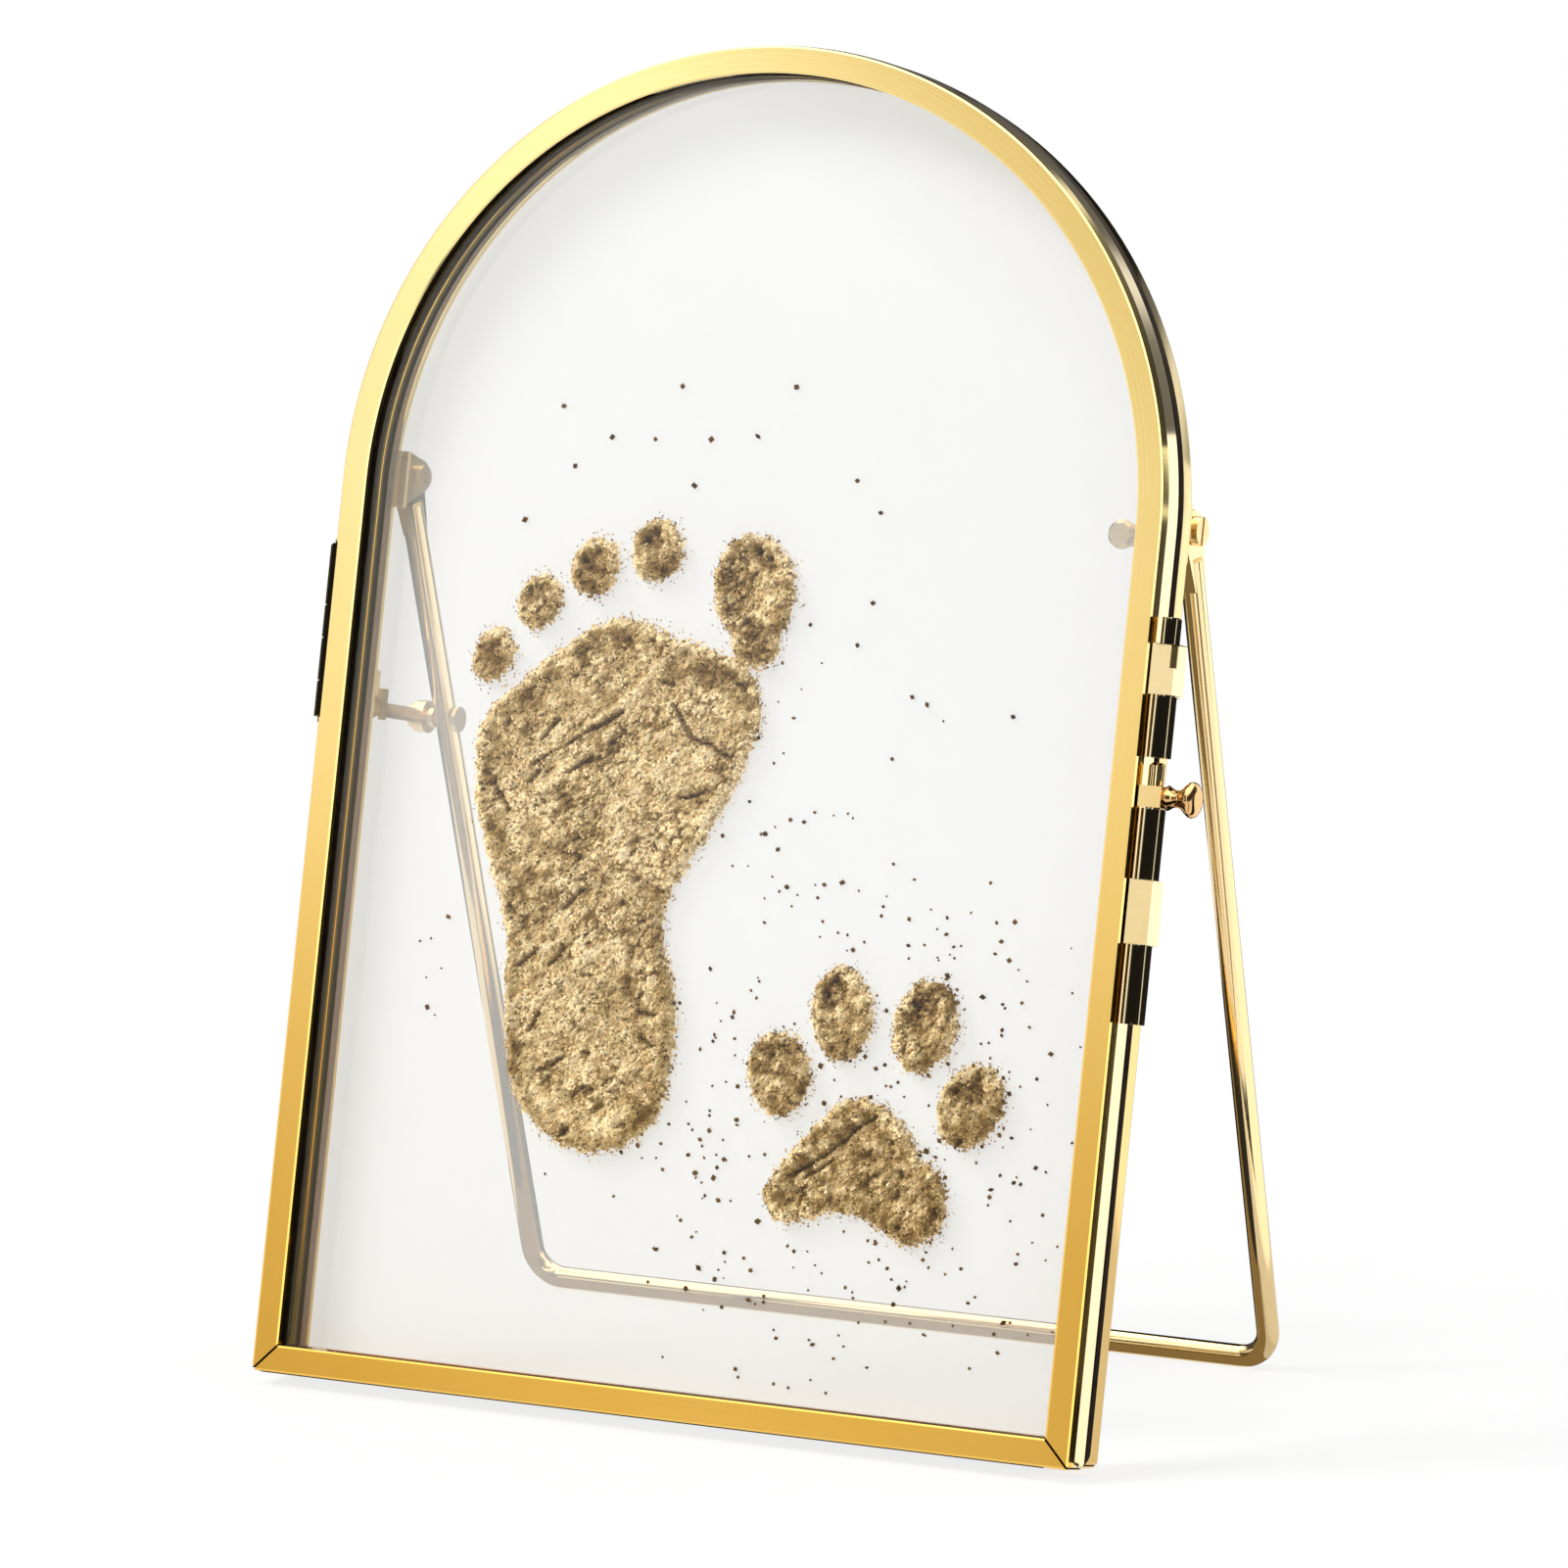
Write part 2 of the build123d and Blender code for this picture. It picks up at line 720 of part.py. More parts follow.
def sand_dabs(toes):
    """Oval heaps of sand, each given by its middle, half sizes and turn."""
    with BuildPart() as dabs:
        for middle_u, middle_v, half_u, half_v, turn in toes:
            with BuildSketch(face_plane(sand_n)):
                with Locations((middle_u, middle_v)):
                    Ellipse(half_u, half_v, rotation=turn)
            extrude(amount=sand_thickness)
    return dabs


sand_foot_sole = sand_patch(sole_points)
sand_foot_toes = sand_dabs(foot_toes)
sand_paw_pad = sand_patch(paw_points)
sand_paw_toes = sand_dabs(paw_toes)

pieces = {
    "front_arch_channel": front_arch_channel,
    "front_bottom_rail": front_bottom_rail,
    "front_glass": front_glass,
    "back_arch_channel": back_arch_channel,
    "back_bottom_rail": back_bottom_rail,
    "back_glass": back_glass,
    "hinge_front_leaf": hinge_front_leaf,
    "hinge_back_leaf": hinge_back_leaf,
    "hinge_pin": hinge_pin,
    "latch_keeper": latch_keeper,
    "latch_guide": latch_guide,
    "latch_bolt": latch_bolt,
    "latch_knob": latch_knob,
    "stand_wire": stand_wire,
    "stand_bracket_left": stand_bracket_left,
    "stand_bracket_right": stand_bracket_right,
    "bracket_screw": bracket_screw,
    "stand_pivot_screws": stand_pivot_screws,
    "stay_rod": stay_rod,
    "stay_pin": stay_pin,
    "stay_clip": stay_clip,
    "sand_foot_sole": sand_foot_sole,
    "sand_foot_toes": sand_foot_toes,
    "sand_paw_pad": sand_paw_pad,
    "sand_paw_toes": sand_paw_toes,
}
os.makedirs("parts", exist_ok=True)
for name, piece in pieces.items():
    piece.part.label = name
    export_step(piece.part, f"parts/{name}.step")

# Joint places and ratios, for whoever drives the assembly
stay_ratio = 1 + 90 / spread
print("door axis through", lean_plane.from_local_coords((hinge_u, 0, -hinge_n)), "along", -up_dir)
print("bolt slides along", up_dir, "by", bolt_travel)
print("stand pivot", pivot_middle, "folds by", spread)
print("stay pivot", lean_plane.from_local_coords((stay_u, stay_v, -stay_n)), "ratio", stay_ratio)
print("foot rail's under face", lean_plane.from_local_coords((0, 0, -(back_front + back_depth / 2))))
print("leg length", leg_length)
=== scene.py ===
"""Looks of the arched keepsake frame: gold channels, clear panes, sand prints and a white studio.

Local places are (u, v, n) in millimetres: across the frame from its middle, up its leaning face
from the bottom edge, and into its depth from the front face.
"""

import json
import math
import random

import bmesh
import bpy
import numpy as np
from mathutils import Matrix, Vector, noise


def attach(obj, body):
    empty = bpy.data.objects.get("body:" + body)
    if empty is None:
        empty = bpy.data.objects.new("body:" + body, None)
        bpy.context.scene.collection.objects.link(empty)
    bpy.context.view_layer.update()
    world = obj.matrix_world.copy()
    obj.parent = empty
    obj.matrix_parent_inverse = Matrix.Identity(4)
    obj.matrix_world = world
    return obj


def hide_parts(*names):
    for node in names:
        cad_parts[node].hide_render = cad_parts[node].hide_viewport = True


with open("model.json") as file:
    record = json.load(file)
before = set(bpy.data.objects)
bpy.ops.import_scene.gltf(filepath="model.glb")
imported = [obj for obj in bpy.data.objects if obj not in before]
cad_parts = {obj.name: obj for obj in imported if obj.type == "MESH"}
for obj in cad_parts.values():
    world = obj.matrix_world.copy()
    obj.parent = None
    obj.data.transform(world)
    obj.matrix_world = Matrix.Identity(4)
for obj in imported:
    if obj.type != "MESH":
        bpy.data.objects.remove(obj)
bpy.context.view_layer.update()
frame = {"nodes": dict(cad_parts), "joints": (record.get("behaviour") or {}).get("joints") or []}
nodes = frame["nodes"]

MM = 0.001
SHARP_ANGLE = math.radians(8.5)

# The leaning frame's own directions, from the door's hinge
hinge = next(joint for joint in frame["joints"] if joint["name"] == "door_hinge")
UP = -Vector(hinge["axis"]).normalized()
RIGHT = Vector((1, 0, 0))
BACK = Vector((0, UP.z, -UP.y))


def node_points(node):
    """All points of a CAD node as rows of x, y, z in metres."""
    return np.array([vertex.co[:] for vertex in nodes[node].data.vertices])


foot_points = node_points("front_bottom_rail")
origin = (
    RIGHT * float(foot_points[:, 0].min() + foot_points[:, 0].max()) / 2
    + UP * float((foot_points @ np.array(UP)).min())
    + BACK * float((foot_points @ np.array(BACK)).min())
)


def place(u, v, n):
    """World point of a local place in millimetres."""
    return origin + RIGHT * (u * MM) + UP * (v * MM) + BACK * (n * MM)


def to_local(points):
    """Rows of local u, v, n in millimetres for rows of world points in metres."""
    offset = np.asarray(points) - np.array(origin)
    return offset @ np.array([RIGHT, UP, BACK]).T / MM


def local_box(node):
    """Lowest and highest local u, v, n of a CAD node, in millimetres."""
    local = to_local(node_points(node))
    return local.min(0).tolist(), local.max(0).tolist()


# Sizes of the channels, in millimetres, the outer ones read from the frame
front_low, front_high = local_box("front_arch_channel")
half_width = (front_high[0] - front_low[0]) / 2
height = front_high[1]
spring = height - half_width
front_depth = front_high[2]
depth = local_box("back_arch_channel")[1][2]
rail_face = 4.2
lip = 1.2
web = 1.3
slot = 2.2
groove = 1.2
rebate_inset = 1.0
seat_gap = 0.15
slack = 0.01
# Bevel of the front edges and taper of the door's side, each as an inset and a depth
edge_bevel = (0.28, 0.10)
side_taper = (0.24, 1.6)
small_bevel = 0.2
groove_bevel = 0.45
back_taper = 0.35
back_round = 1.0
mitre_gap = 0.25
front_corner = 1.4
back_corner = 2.8
corner_steps = 6
round_steps = 12
arc_steps = 96
straight_steps = 8
# Distances in metres at which points are one and edges have no length
weld_distance = 1e-6
no_length = 1e-7


def linked_object(name, data):
    """A new object in the scene."""
    item = bpy.data.objects.new(name, data)
    bpy.context.scene.collection.objects.link(item)
    return item


def new_object(name, mesh, material, body):
    """Links a mesh as a piece of the object that rides on a body."""
    piece = linked_object(name, mesh)
    mesh.materials.append(material)
    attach(piece, body)
    return piece


def smooth_by_angle(bm):
    """Smooth faces with sharp edges where they meet at more than SHARP_ANGLE."""
    for face in bm.faces:
        face.smooth = True
    for edge in bm.edges:
        if len(edge.link_faces) == 2 and edge.calc_face_angle(0) > SHARP_ANGLE:
            edge.smooth = False


# Node helpers for the materials
def new_material(name):
    """Empty node material, returned as the material and its tree."""
    material = bpy.data.materials.new(name)
    material.use_nodes = True
    tree = material.node_tree
    tree.nodes.clear()
    return material, tree


def add_node(tree, kind, inputs=None, **settings):
    """Outputs of a new node, a shader's by short name, with constants or other outputs as its inputs."""
    node = tree.nodes.new(kind if "Node" in kind else "ShaderNode" + kind)
    for key, value in settings.items():
        setattr(node, key, value)
    for key, value in (inputs or {}).items():
        if isinstance(value, bpy.types.NodeSocket):
            tree.links.new(value, node.inputs[key])
        else:
            node.inputs[key].default_value = value
    return node.outputs


def ramp_node(tree, source, stops):
    """Colour of a ramp over source with (position, colour) stops."""
    ramp = tree.nodes.new("ShaderNodeValToRGB")
    elements = ramp.color_ramp.elements
    while len(elements) > 1:
        elements.remove(elements[-1])
    elements[0].position, elements[0].color = stops[0][0], (*stops[0][1], 1)
    for position, colour in stops[1:]:
        element = elements.new(position)
        element.color = (*colour, 1)
    tree.links.new(source, ramp.inputs["Fac"])
    return ramp.outputs["Color"]


def add_surface(tree, inputs):
    """Ends a material with a principled shader."""
    shader = add_node(tree, "BsdfPrincipled", inputs)
    add_node(tree, "OutputMaterial", {"Surface": shader["BSDF"]})


def mix_colours(tree, how, share, first, second):
    """Two colours blended, by a share of the second."""
    inputs = {"Factor": share, "A": first, "B": second}
    return add_node(tree, "Mix", inputs, data_type="RGBA", blend_type=how)["Result"]


def mix_shaders(tree, share, first, second):
    """Two shaders mixed, by a share of the second."""
    return add_node(tree, "MixShader", {"Fac": share, 1: first, 2: second})["Shader"]


def any_ray(tree, *kinds):
    """1 for rays of any of these kinds, otherwise 0."""
    path = add_node(tree, "LightPath")
    found = path["Is %s Ray" % kinds[0]]
    for kind in kinds[1:]:
        inputs = {0: found, 1: path["Is %s Ray" % kind]}
        found = add_node(tree, "Math", inputs, operation="MAXIMUM")["Value"]
    return found


def gold_material(name, tones, roughness, lines_scale, coordinate):
    """Polished gold plate: two gold tones over the height, paler upwards as painted sheen, fine lines
    along the metal, soft haze.
    """
    material, tree = new_material(name)
    coords = add_node(tree, "TexCoord")
    split = add_node(tree, "SeparateXYZ", {"Vector": coords["Object"]})
    inputs = {"Value": split["Z"], "From Min": 0.0, "From Max": gold_sheen_rise}
    rise = add_node(tree, "MapRange", inputs, interpolation_type="SMOOTHSTEP")
    cloud = add_node(tree, "TexNoise", {"Vector": coords["Object"], "Scale": 26.0, "Detail": 3.0})
    inputs = {0: cloud["Fac"], 1: cloud_share, 2: rise["Result"]}
    drift = add_node(tree, "Math", inputs, operation="MULTIPLY_ADD")
    tone = ramp_node(tree, drift["Value"], list(zip(tone_stops, tones)))
    stretch = add_node(tree, "Mapping", {"Vector": coords[coordinate], "Scale": lines_scale})
    fine = add_node(tree, "TexNoise", {"Vector": stretch["Vector"], "Scale": 1.0, "Detail": 4.0})
    smooth, dull = [roughness * share for share in haze_range]
    haze = add_node(tree, "MapRange", {"Value": fine["Fac"], "To Min": smooth, "To Max": dull})
    bump = add_node(tree, "Bump", {"Height": fine["Fac"], "Strength": 0.05, "Distance": 0.00004})
    inputs = {"Base Color": tone, "Metallic": 1.0, "Roughness": haze["Result"]}
    add_surface(tree, {**inputs, "Normal": bump["Normal"]})
    return material


def seam_shade_material():
    """Painted shade for the narrow seam between the frames, the pane's slot and the strips' ends: dull
    dark metal with uneven mottling.
    """
    material, tree = new_material("seam_shade")
    coords = add_node(tree, "TexCoord")
    seam_mottle = add_node(tree, "TexNoise", {"Vector": coords["Object"], "Scale": 220.0})
    tone = ramp_node(tree, seam_mottle["Fac"], seam_shade_tones)
    add_surface(tree, {"Base Color": tone, "Metallic": 0.6, "Roughness": 0.55})
    return material


def glass_material(name, tint, clear):
    """Clear pane with a faint shine that lets lamplight through; clear below 1 leaves a white film."""
    material, tree = new_material(name)
    inputs = {"Base Color": (*tint, 1), "Roughness": 0.0, "IOR": 1.46}
    inputs.update({"Specular IOR Level": 0.06, "Transmission Weight": clear})
    shader = add_node(tree, "BsdfPrincipled", inputs)
    see = add_node(tree, "BsdfTransparent")
    passing = any_ray(tree, "Diffuse", "Reflection", "Shadow")
    mix = mix_shaders(tree, passing, shader["BSDF"], see["BSDF"])
    add_node(tree, "OutputMaterial", {"Surface": mix})
    return material


def sand_material():
    """Dry sand: each grain's tone from the mesh, its own colour with painted light and shade, with fine
    grain and crumb on top.
    """
    material, tree = new_material("sand_grain")
    grain_tone = add_node(tree, "VertexColor", layer_name="tone")
    coords = add_node(tree, "TexCoord")
    crumbs = add_node(tree, "TexVoronoi", {"Vector": coords["Object"], "Scale": 2600.0})
    fleck = ramp_node(tree, crumbs["Color"], crumb_tones)
    tone = mix_colours(tree, "MULTIPLY", crumb_share, grain_tone["Color"], fleck)
    bump = add_node(tree, "Bump", {"Height": crumbs["Distance"], "Strength": 0.6, "Distance": 0.00015})
    inputs = {"Base Color": tone, "Roughness": 0.9, "Specular IOR Level": 0.0}
    add_surface(tree, {**inputs, "Normal": bump["Normal"]})
    return material


# Gold: height in metres over which its tone turns paler upwards as painted sheen, clouds in that, and
# haze
gold_sheen_rise = 0.19
cloud_share = 0.35
tone_stops = (0.1, 1.1)
haze_range = (0.75, 1.35)
# Dark tones of the seams' painted shade, and tones of the sand's crumbs
seam_shade_tones = [(0.3, (0.010, 0.007, 0.004)), (0.8, (0.05, 0.03, 0.012))]
crumb_tones = [(0.12, (0.34, 0.28, 0.22)), (0.40, (0.90, 0.89, 0.86)), (0.85, (1.45, 1.42, 1.34))]
crumb_share = 0.4
# Low and high tones of each gold; the high tone, paler, is painted sheen towards the top
gold_tones = ((0.88, 0.53, 0.105), (0.93, 0.73, 0.32))
# Paler copy of the gold, painted sheen on the door's outer sides and on the latch
pale_sheen_tones = ((0.91, 0.73, 0.42), (0.93, 0.78, 0.48))
fitting_tones = ((0.90, 0.66, 0.30), (0.92, 0.71, 0.36))
# Deeper, coppery copy of the gold for the knob: partly its own coppery tone, partly painted shade for
# the dark that it mirrors
knob_copper_shade_tones = ((0.72, 0.42, 0.16), (0.78, 0.48, 0.20))
wire_tones = ((0.90, 0.68, 0.35), (0.92, 0.74, 0.42))
# Scales of the fine lines: drawn out along a strip's UVs, or even all round a fitting
along_strip = {"lines_scale": (0.02, 6.0, 6.0), "coordinate": "UV"}
all_round = {"lines_scale": (900.0, 900.0, 900.0), "coordinate": "Object"}
gold_strip = gold_material("gold_strip", gold_tones, roughness=0.09, **along_strip)
# The door's outer sides in the paler copy: painted sheen
gold_side_sheen = gold_material("gold_side_sheen", pale_sheen_tones, roughness=0.09, **along_strip)
gold_fitting = gold_material("gold_fitting", fitting_tones, roughness=0.10, **all_round)
gold_satin = gold_material("gold_satin", fitting_tones, roughness=0.30, **all_round)
# The knob: its coppery tone with painted shade
gold_knob_copper_shade = gold_material("gold_knob_copper_shade", knob_copper_shade_tones, roughness=0.10, **all_round)
# The latch's sleeves and barrels in the paler copy: painted sheen for their whitish highlights
gold_latch_sheen = gold_material("gold_latch_sheen", pale_sheen_tones, roughness=0.10, **all_round)
gold_wire = gold_material("gold_wire", wire_tones, roughness=0.11, **all_round)
front_clear = glass_material("front_clear", tint=(1.0, 1.0, 1.0), clear=1.0)
back_clear = glass_material("back_clear", tint=(0.928, 0.928, 0.918), clear=0.80)
seam_shade = seam_shade_material()
sand_grain = sand_material()


# Channel strips swept along the frame's outline
def arc_angles(first, last, steps):
    """Angles in radians from first to last, which are in degrees."""
    return [math.radians(first + (last - first) * i / steps) for i in range(steps + 1)]


def arc_points(centre, radius, start, end, steps):
    """Points of a round corner in the section, angles in degrees."""
    angles = arc_angles(start, end, steps)
    return [(centre[0] + radius * math.cos(a), centre[1] + radius * math.sin(a)) for a in angles]


def pane_slot(near):
    """Points of a section round the slot for its pane."""
    bevelled = rail_face - small_bevel
    points = [(rail_face, near - small_bevel), (bevelled, near), (web, near)]
    return points + [(web, near + slot), (bevelled, near + slot), (rail_face, near + slot + small_bevel)]


def front_channel_section():
    """Closed section of the door's channel in (inset, n): flat face with fine bevels, tapered side."""
    taper, taper_depth = side_taper
    bevel, bevel_depth = edge_bevel
    inner = rail_face
    points = [(0, taper_depth), (taper, bevel_depth), (taper + bevel, 0)]
    points += [(inner - bevel, 0), (inner, bevel_depth)]
    points += pane_slot(lip)
    points += [(inner, front_depth - small_bevel), (inner - small_bevel, front_depth)]
    points += [(rebate_inset, front_depth), (small_bevel, front_depth), (0, front_depth - small_bevel)]
    return points


def back_channel_section():
    """Closed section of the back channel in (inset, n): seat for the door, rounded back."""
    near = front_depth + groove
    seat = front_depth + seat_gap
    inner = rail_face
    points = [(0, near + groove_bevel), (groove_bevel, near), (rebate_inset, near)]
    points += [(rebate_inset, seat), (inner, seat)]
    points += pane_slot(near + lip)
    points += [(inner, depth - small_bevel), (inner - small_bevel, depth)]
    points += arc_points((back_taper + back_round, depth - back_round), back_round, 90, 180, round_steps)
    return points


def finish_of(first, second):
    """Material of a part of the section: 1, the painted shade, in the seams and the pane's slot, 2, the
    paler gold of painted sheen, on the door's side.
    """
    near = front_depth - slack
    far = front_depth + groove + groove_bevel + slack
    inside = all(near < n < far for s, n in (first, second))
    if inside and max(first[0], second[0]) < rebate_inset + slack:
        return 1
    slot_near = lip - small_bevel - slack
    slot_far = lip + slot + small_bevel + slack
    if all(slot_near < n < slot_far for s, n in (first, second)):
        return 1
    on_side = max(first[0], second[0]) == 0 and max(first[1], second[1]) < front_depth
    return 2 if on_side else 0


def pulled_in(s, along, corner):
    """Inset of a point near a foot corner, where the outer side bends round."""
    if along >= corner:
        return s
    return max(s, corner - math.sqrt(corner**2 - (corner - along) ** 2))


def corner_mitre(corner):
    """Inset where a foot corner's round outside meets the mitre, beside its gap."""
    return corner - (mitre_gap + math.sqrt(2 * corner**2 - mitre_gap**2)) / 2


def corner_rises(corner):
    """Distances along a strip from its mitre to the end of the foot corner."""
    start = corner_mitre(corner) + mitre_gap
    return [start + (corner - start) * i / corner_steps for i in range(1, corner_steps + 1)]


def mirrored(stations):
    """The same places on the other side of the frame, from the last to the first."""
    return [lambda s, station=station: (-station(s)[0], station(s)[1]) for station in reversed(stations)]


def arch_stations(corner):
    """Places along the bent strip, each a function from inset to (u, v)."""
    mitre = corner_mitre(corner)
    steps = range(1, straight_steps + 1)
    rises = corner_rises(corner)
    rises += [rail_face + (spring - rail_face) * i / straight_steps for i in steps]

    def side(s, v):
        return pulled_in(s, v, corner) - half_width, max(v, s + mitre_gap) if v < rail_face else v

    def crown(s, a):
        return (half_width - s) * math.cos(a), spring + (half_width - s) * math.sin(a)

    left = [lambda s: (max(s, mitre) - half_width, max(s, mitre) + mitre_gap)]
    left += [lambda s, v=v: side(s, v) for v in rises]
    angles = [math.pi * (1 - i / arc_steps) for i in range(1, arc_steps)]
    return left + [lambda s, a=a: crown(s, a) for a in angles] + mirrored(left)


def rail_stations(corner):
    """Places along the foot rail, mitred at both ends."""
    mitre = corner_mitre(corner)
    span = half_width - rail_face

    def end(s, run):
        return max(run, s + mitre_gap) - half_width, pulled_in(s, run, corner)

    left = [lambda s: (max(s, mitre) - half_width + mitre_gap, max(s, mitre))]
    left += [lambda s, run=run: end(s, run) for run in corner_rises(corner)]
    places = [-span + 2 * span * i / straight_steps for i in range(straight_steps + 1)]
    return left + [lambda s, u=u: (u, s) for u in places] + mirrored(left)


def swept_strip(name, node, body, stations, section):
    """Strip with the section swept through the stations, with UVs along and across it."""
    bm = bmesh.new()
    uv_layer = bm.loops.layers.uv.new("strip")
    rings = []
    along = [0.0]
    for k, station in enumerate(stations):
        rings.append([bm.verts.new(place(*station(s), n)) for s, n in section])
        if k:
            step = Vector(station(web)) - Vector(stations[k - 1](web))
            along.append(along[-1] + step.length)
    across = [0.0]
    for (s0, n0), (s1, n1) in zip(section, section[1:] + section[:1]):
        across.append(across[-1] + math.hypot(s1 - s0, n1 - n0))
    count = len(section)
    finish = [finish_of(section[j], section[(j + 1) % count]) for j in range(count)]
    for k in range(len(rings) - 1):
        for j in range(count):
            after = (j + 1) % count
            face = bm.faces.new([rings[k][j], rings[k][after], rings[k + 1][after], rings[k + 1][j]])
            face.material_index = finish[j]
            marks = [(k, j), (k, j + 1), (k + 1, j + 1), (k + 1, j)]
            for loop, (kk, jj) in zip(face.loops, marks):
                loop[uv_layer].uv = (along[kk], across[jj])
    # The strips' ends get the seams' painted shade
    for ring in (rings[0][::-1], rings[-1]):
        bm.faces.new(ring).material_index = 1
    bmesh.ops.dissolve_degenerate(bm, dist=no_length, edges=bm.edges)
    bmesh.ops.recalc_face_normals(bm, faces=bm.faces)
    smooth_by_angle(bm)
    mesh = bpy.data.meshes.new(name)
    bm.to_mesh(mesh)
    bm.free()
    piece = new_object(name, mesh, gold_strip, body)
    # Further finishes: the seams' painted shade and the door sides' painted sheen
    mesh.materials.append(seam_shade)
    mesh.materials.append(gold_side_sheen)
    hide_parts(node)


strips = [
    ("front", "front_door", front_corner, front_channel_section()),
    ("back", "back_frame", back_corner, back_channel_section()),
]
for side, body, corner, section in strips:
    swept_strip(side + "_arch_strip", side + "_arch_channel", body, arch_stations(corner), section)
    swept_strip(side + "_foot_strip", side + "_bottom_rail", body, rail_stations(corner), section)

# Turned knob: share of its length from the collar and share of its head's radius
knob_sides = 48
knob_profile = [
    (0.00, 0.56), (0.05, 0.56), (0.07, 0.70), (0.14, 0.63), (0.22, 0.53), (0.31, 0.47),
    (0.42, 0.48), (0.54, 0.60), (0.66, 0.82), (0.76, 0.97), (0.83, 1.00), (0.90, 0.95),
    (0.96, 0.80), (0.99, 0.62), (1.00, 0.45),
]
turned_angle = math.radians(28)


def turned_shading():
    """Modifier nodes that shade round faces smooth and keep the edges between flat ones sharp."""
    group = bpy.data.node_groups.new("turned_shading", "GeometryNodeTree")
    for way in ("INPUT", "OUTPUT"):
        group.interface.new_socket("Geometry", in_out=way, socket_type="NodeSocketGeometry")
    start = add_node(group, "NodeGroupInput")
    inputs = {"Geometry": start["Geometry"], "Distance": weld_distance}
    weld = add_node(group, "GeometryNodeMergeByDistance", inputs)
    smooth = add_node(group, "GeometryNodeSetShadeSmooth", {"Geometry": weld["Geometry"]})
    bend = add_node(group, "GeometryNodeInputMeshEdgeAngle")
    steep = add_node(group, "FunctionNodeCompare", {"A": bend["Unsigned Angle"], "B": turned_angle})
    inputs = {"Geometry": smooth["Geometry"], "Selection": steep["Result"], "Shade Smooth": False}
    sharp = add_node(group, "GeometryNodeSetShadeSmooth", inputs, domain="EDGE")
    add_node(group, "NodeGroupOutput", {"Geometry": sharp["Geometry"]})
    return group


turned_group = turned_shading()

# CAD nodes that keep their shape; the metal ones are shaded with smooth rounds and even flats
kept_nodes = [
    (gold_fitting, ["hinge_front_leaf", "hinge_back_leaf", "hinge_pin", "latch_bolt"]),
    (gold_latch_sheen, ["latch_keeper", "latch_guide"]),
    (gold_satin, ["stand_bracket_left", "stand_bracket_right", "bracket_screw", "stand_pivot_screws"]),
    (gold_satin, ["stay_rod", "stay_pin", "stay_clip"]),
    (gold_wire, ["stand_wire"]),
    (front_clear, ["front_glass"]),
    (back_clear, ["back_glass"]),
]
for material, names in kept_nodes:
    for node in names:
        nodes[node].data.materials.clear()
        nodes[node].data.materials.append(material)
        if material not in (front_clear, back_clear):
            nodes[node].modifiers.new("turned_shading", "NODES").node_group = turned_group
            nodes[node].modifiers.new("even_flats", "WEIGHTED_NORMAL").keep_sharp = True


def turned_knob():
    """Thumb knob turned along u: a neck, a flare that narrows to a waist, then a round head."""
    low, high = local_box("latch_knob")
    start, end = low[0], high[0]
    head = (high[1] - low[1]) / 2
    centre_v = (high[1] + low[1]) / 2
    centre_n = (high[2] + low[2]) / 2
    reach = end - start
    profile = [(start + reach * along, head * radius) for along, radius in knob_profile]
    verts, faces = [], []
    for u, radius in profile:
        for k in range(knob_sides):
            a = math.tau * k / knob_sides
            verts.append(place(u, centre_v + radius * math.sin(a), centre_n + radius * math.cos(a)))
    for i in range(len(profile) - 1):
        for k in range(knob_sides):
            after = (k + 1) % knob_sides
            row, ahead = i * knob_sides, (i + 1) * knob_sides
            faces.append((row + k, row + after, ahead + after, ahead + k))
    last = (len(profile) - 1) * knob_sides
    faces.append(tuple(range(knob_sides))[::-1])
    faces.append(tuple(range(last, last + knob_sides)))
    mesh = bpy.data.meshes.new("turned_knob")
    mesh.from_pydata(verts, [], faces)
    bm = bmesh.new()
    bm.from_mesh(mesh)
    bmesh.ops.recalc_face_normals(bm, faces=bm.faces)
    for face in bm.faces:
        face.smooth = len(face.verts) == 4
    bm.to_mesh(mesh)
    bm.free()
    piece = new_object("turned_knob", mesh, gold_knob_copper_shade, "bolt")
    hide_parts("latch_knob")


turned_knob()


# Sand prints: pressed relief with a raised rim, ridges, cracks and pits, covered in single grains
pale_sand = (1.0, 0.79, 0.44)
warm_powers = (1.0, 1.25, 1.8)
grain_levels = [1.0, 0.86, 0.48, 0.16]
level_weights = [14, 9, 4, 2]
level_limits = (0.04, 1.25)
gap_shade = 0.70
grain_radius = (0.14, 0.26)
grain_squash = (0.75, 1.25)
octahedron = [(1, 0, 0), (-1, 0, 0), (0, 1, 0), (0, -1, 0), (0, 0, 1), (0, 0, -1)]
octahedron_faces = [(0, 2, 4), (2, 1, 4), (1, 3, 4), (3, 0, 4)]
octahedron_faces += [(2, 0, 5), (1, 2, 5), (3, 1, 5), (0, 3, 5)]
sand_face = local_box("back_glass")[0][2]
heap = sand_face - local_box("sand_foot_sole")[0][2]
relief_step = 0.45
facing_share = 0.99
# Heights of the relief's lumps, in millimetres, and the direction of its drag marks
drag_height = 0.28
lump_height = 0.30
clod_height = 0.34
crumb_height = 0.34
drag_cos, drag_sin = 0.78, 0.62
# Fine crackle: its patches, and widths of its cracks and of the borders beside them
patch_cover = 0.45
patch_gain = 1.6
split_width = 0.09
border_place = 0.22
border_width = 0.10
# The sand's edge, in millimetres: its wander and rise, then the hollow inside its rim
slow_wander = 0.45
quick_wander = 0.35
mark_wander = 0.5
rise_width = 1.1
edge_share = 0.30
hollow_start = 1.6
hollow_width = 2.0
hollow_depth = 0.25
least_height = 0.12
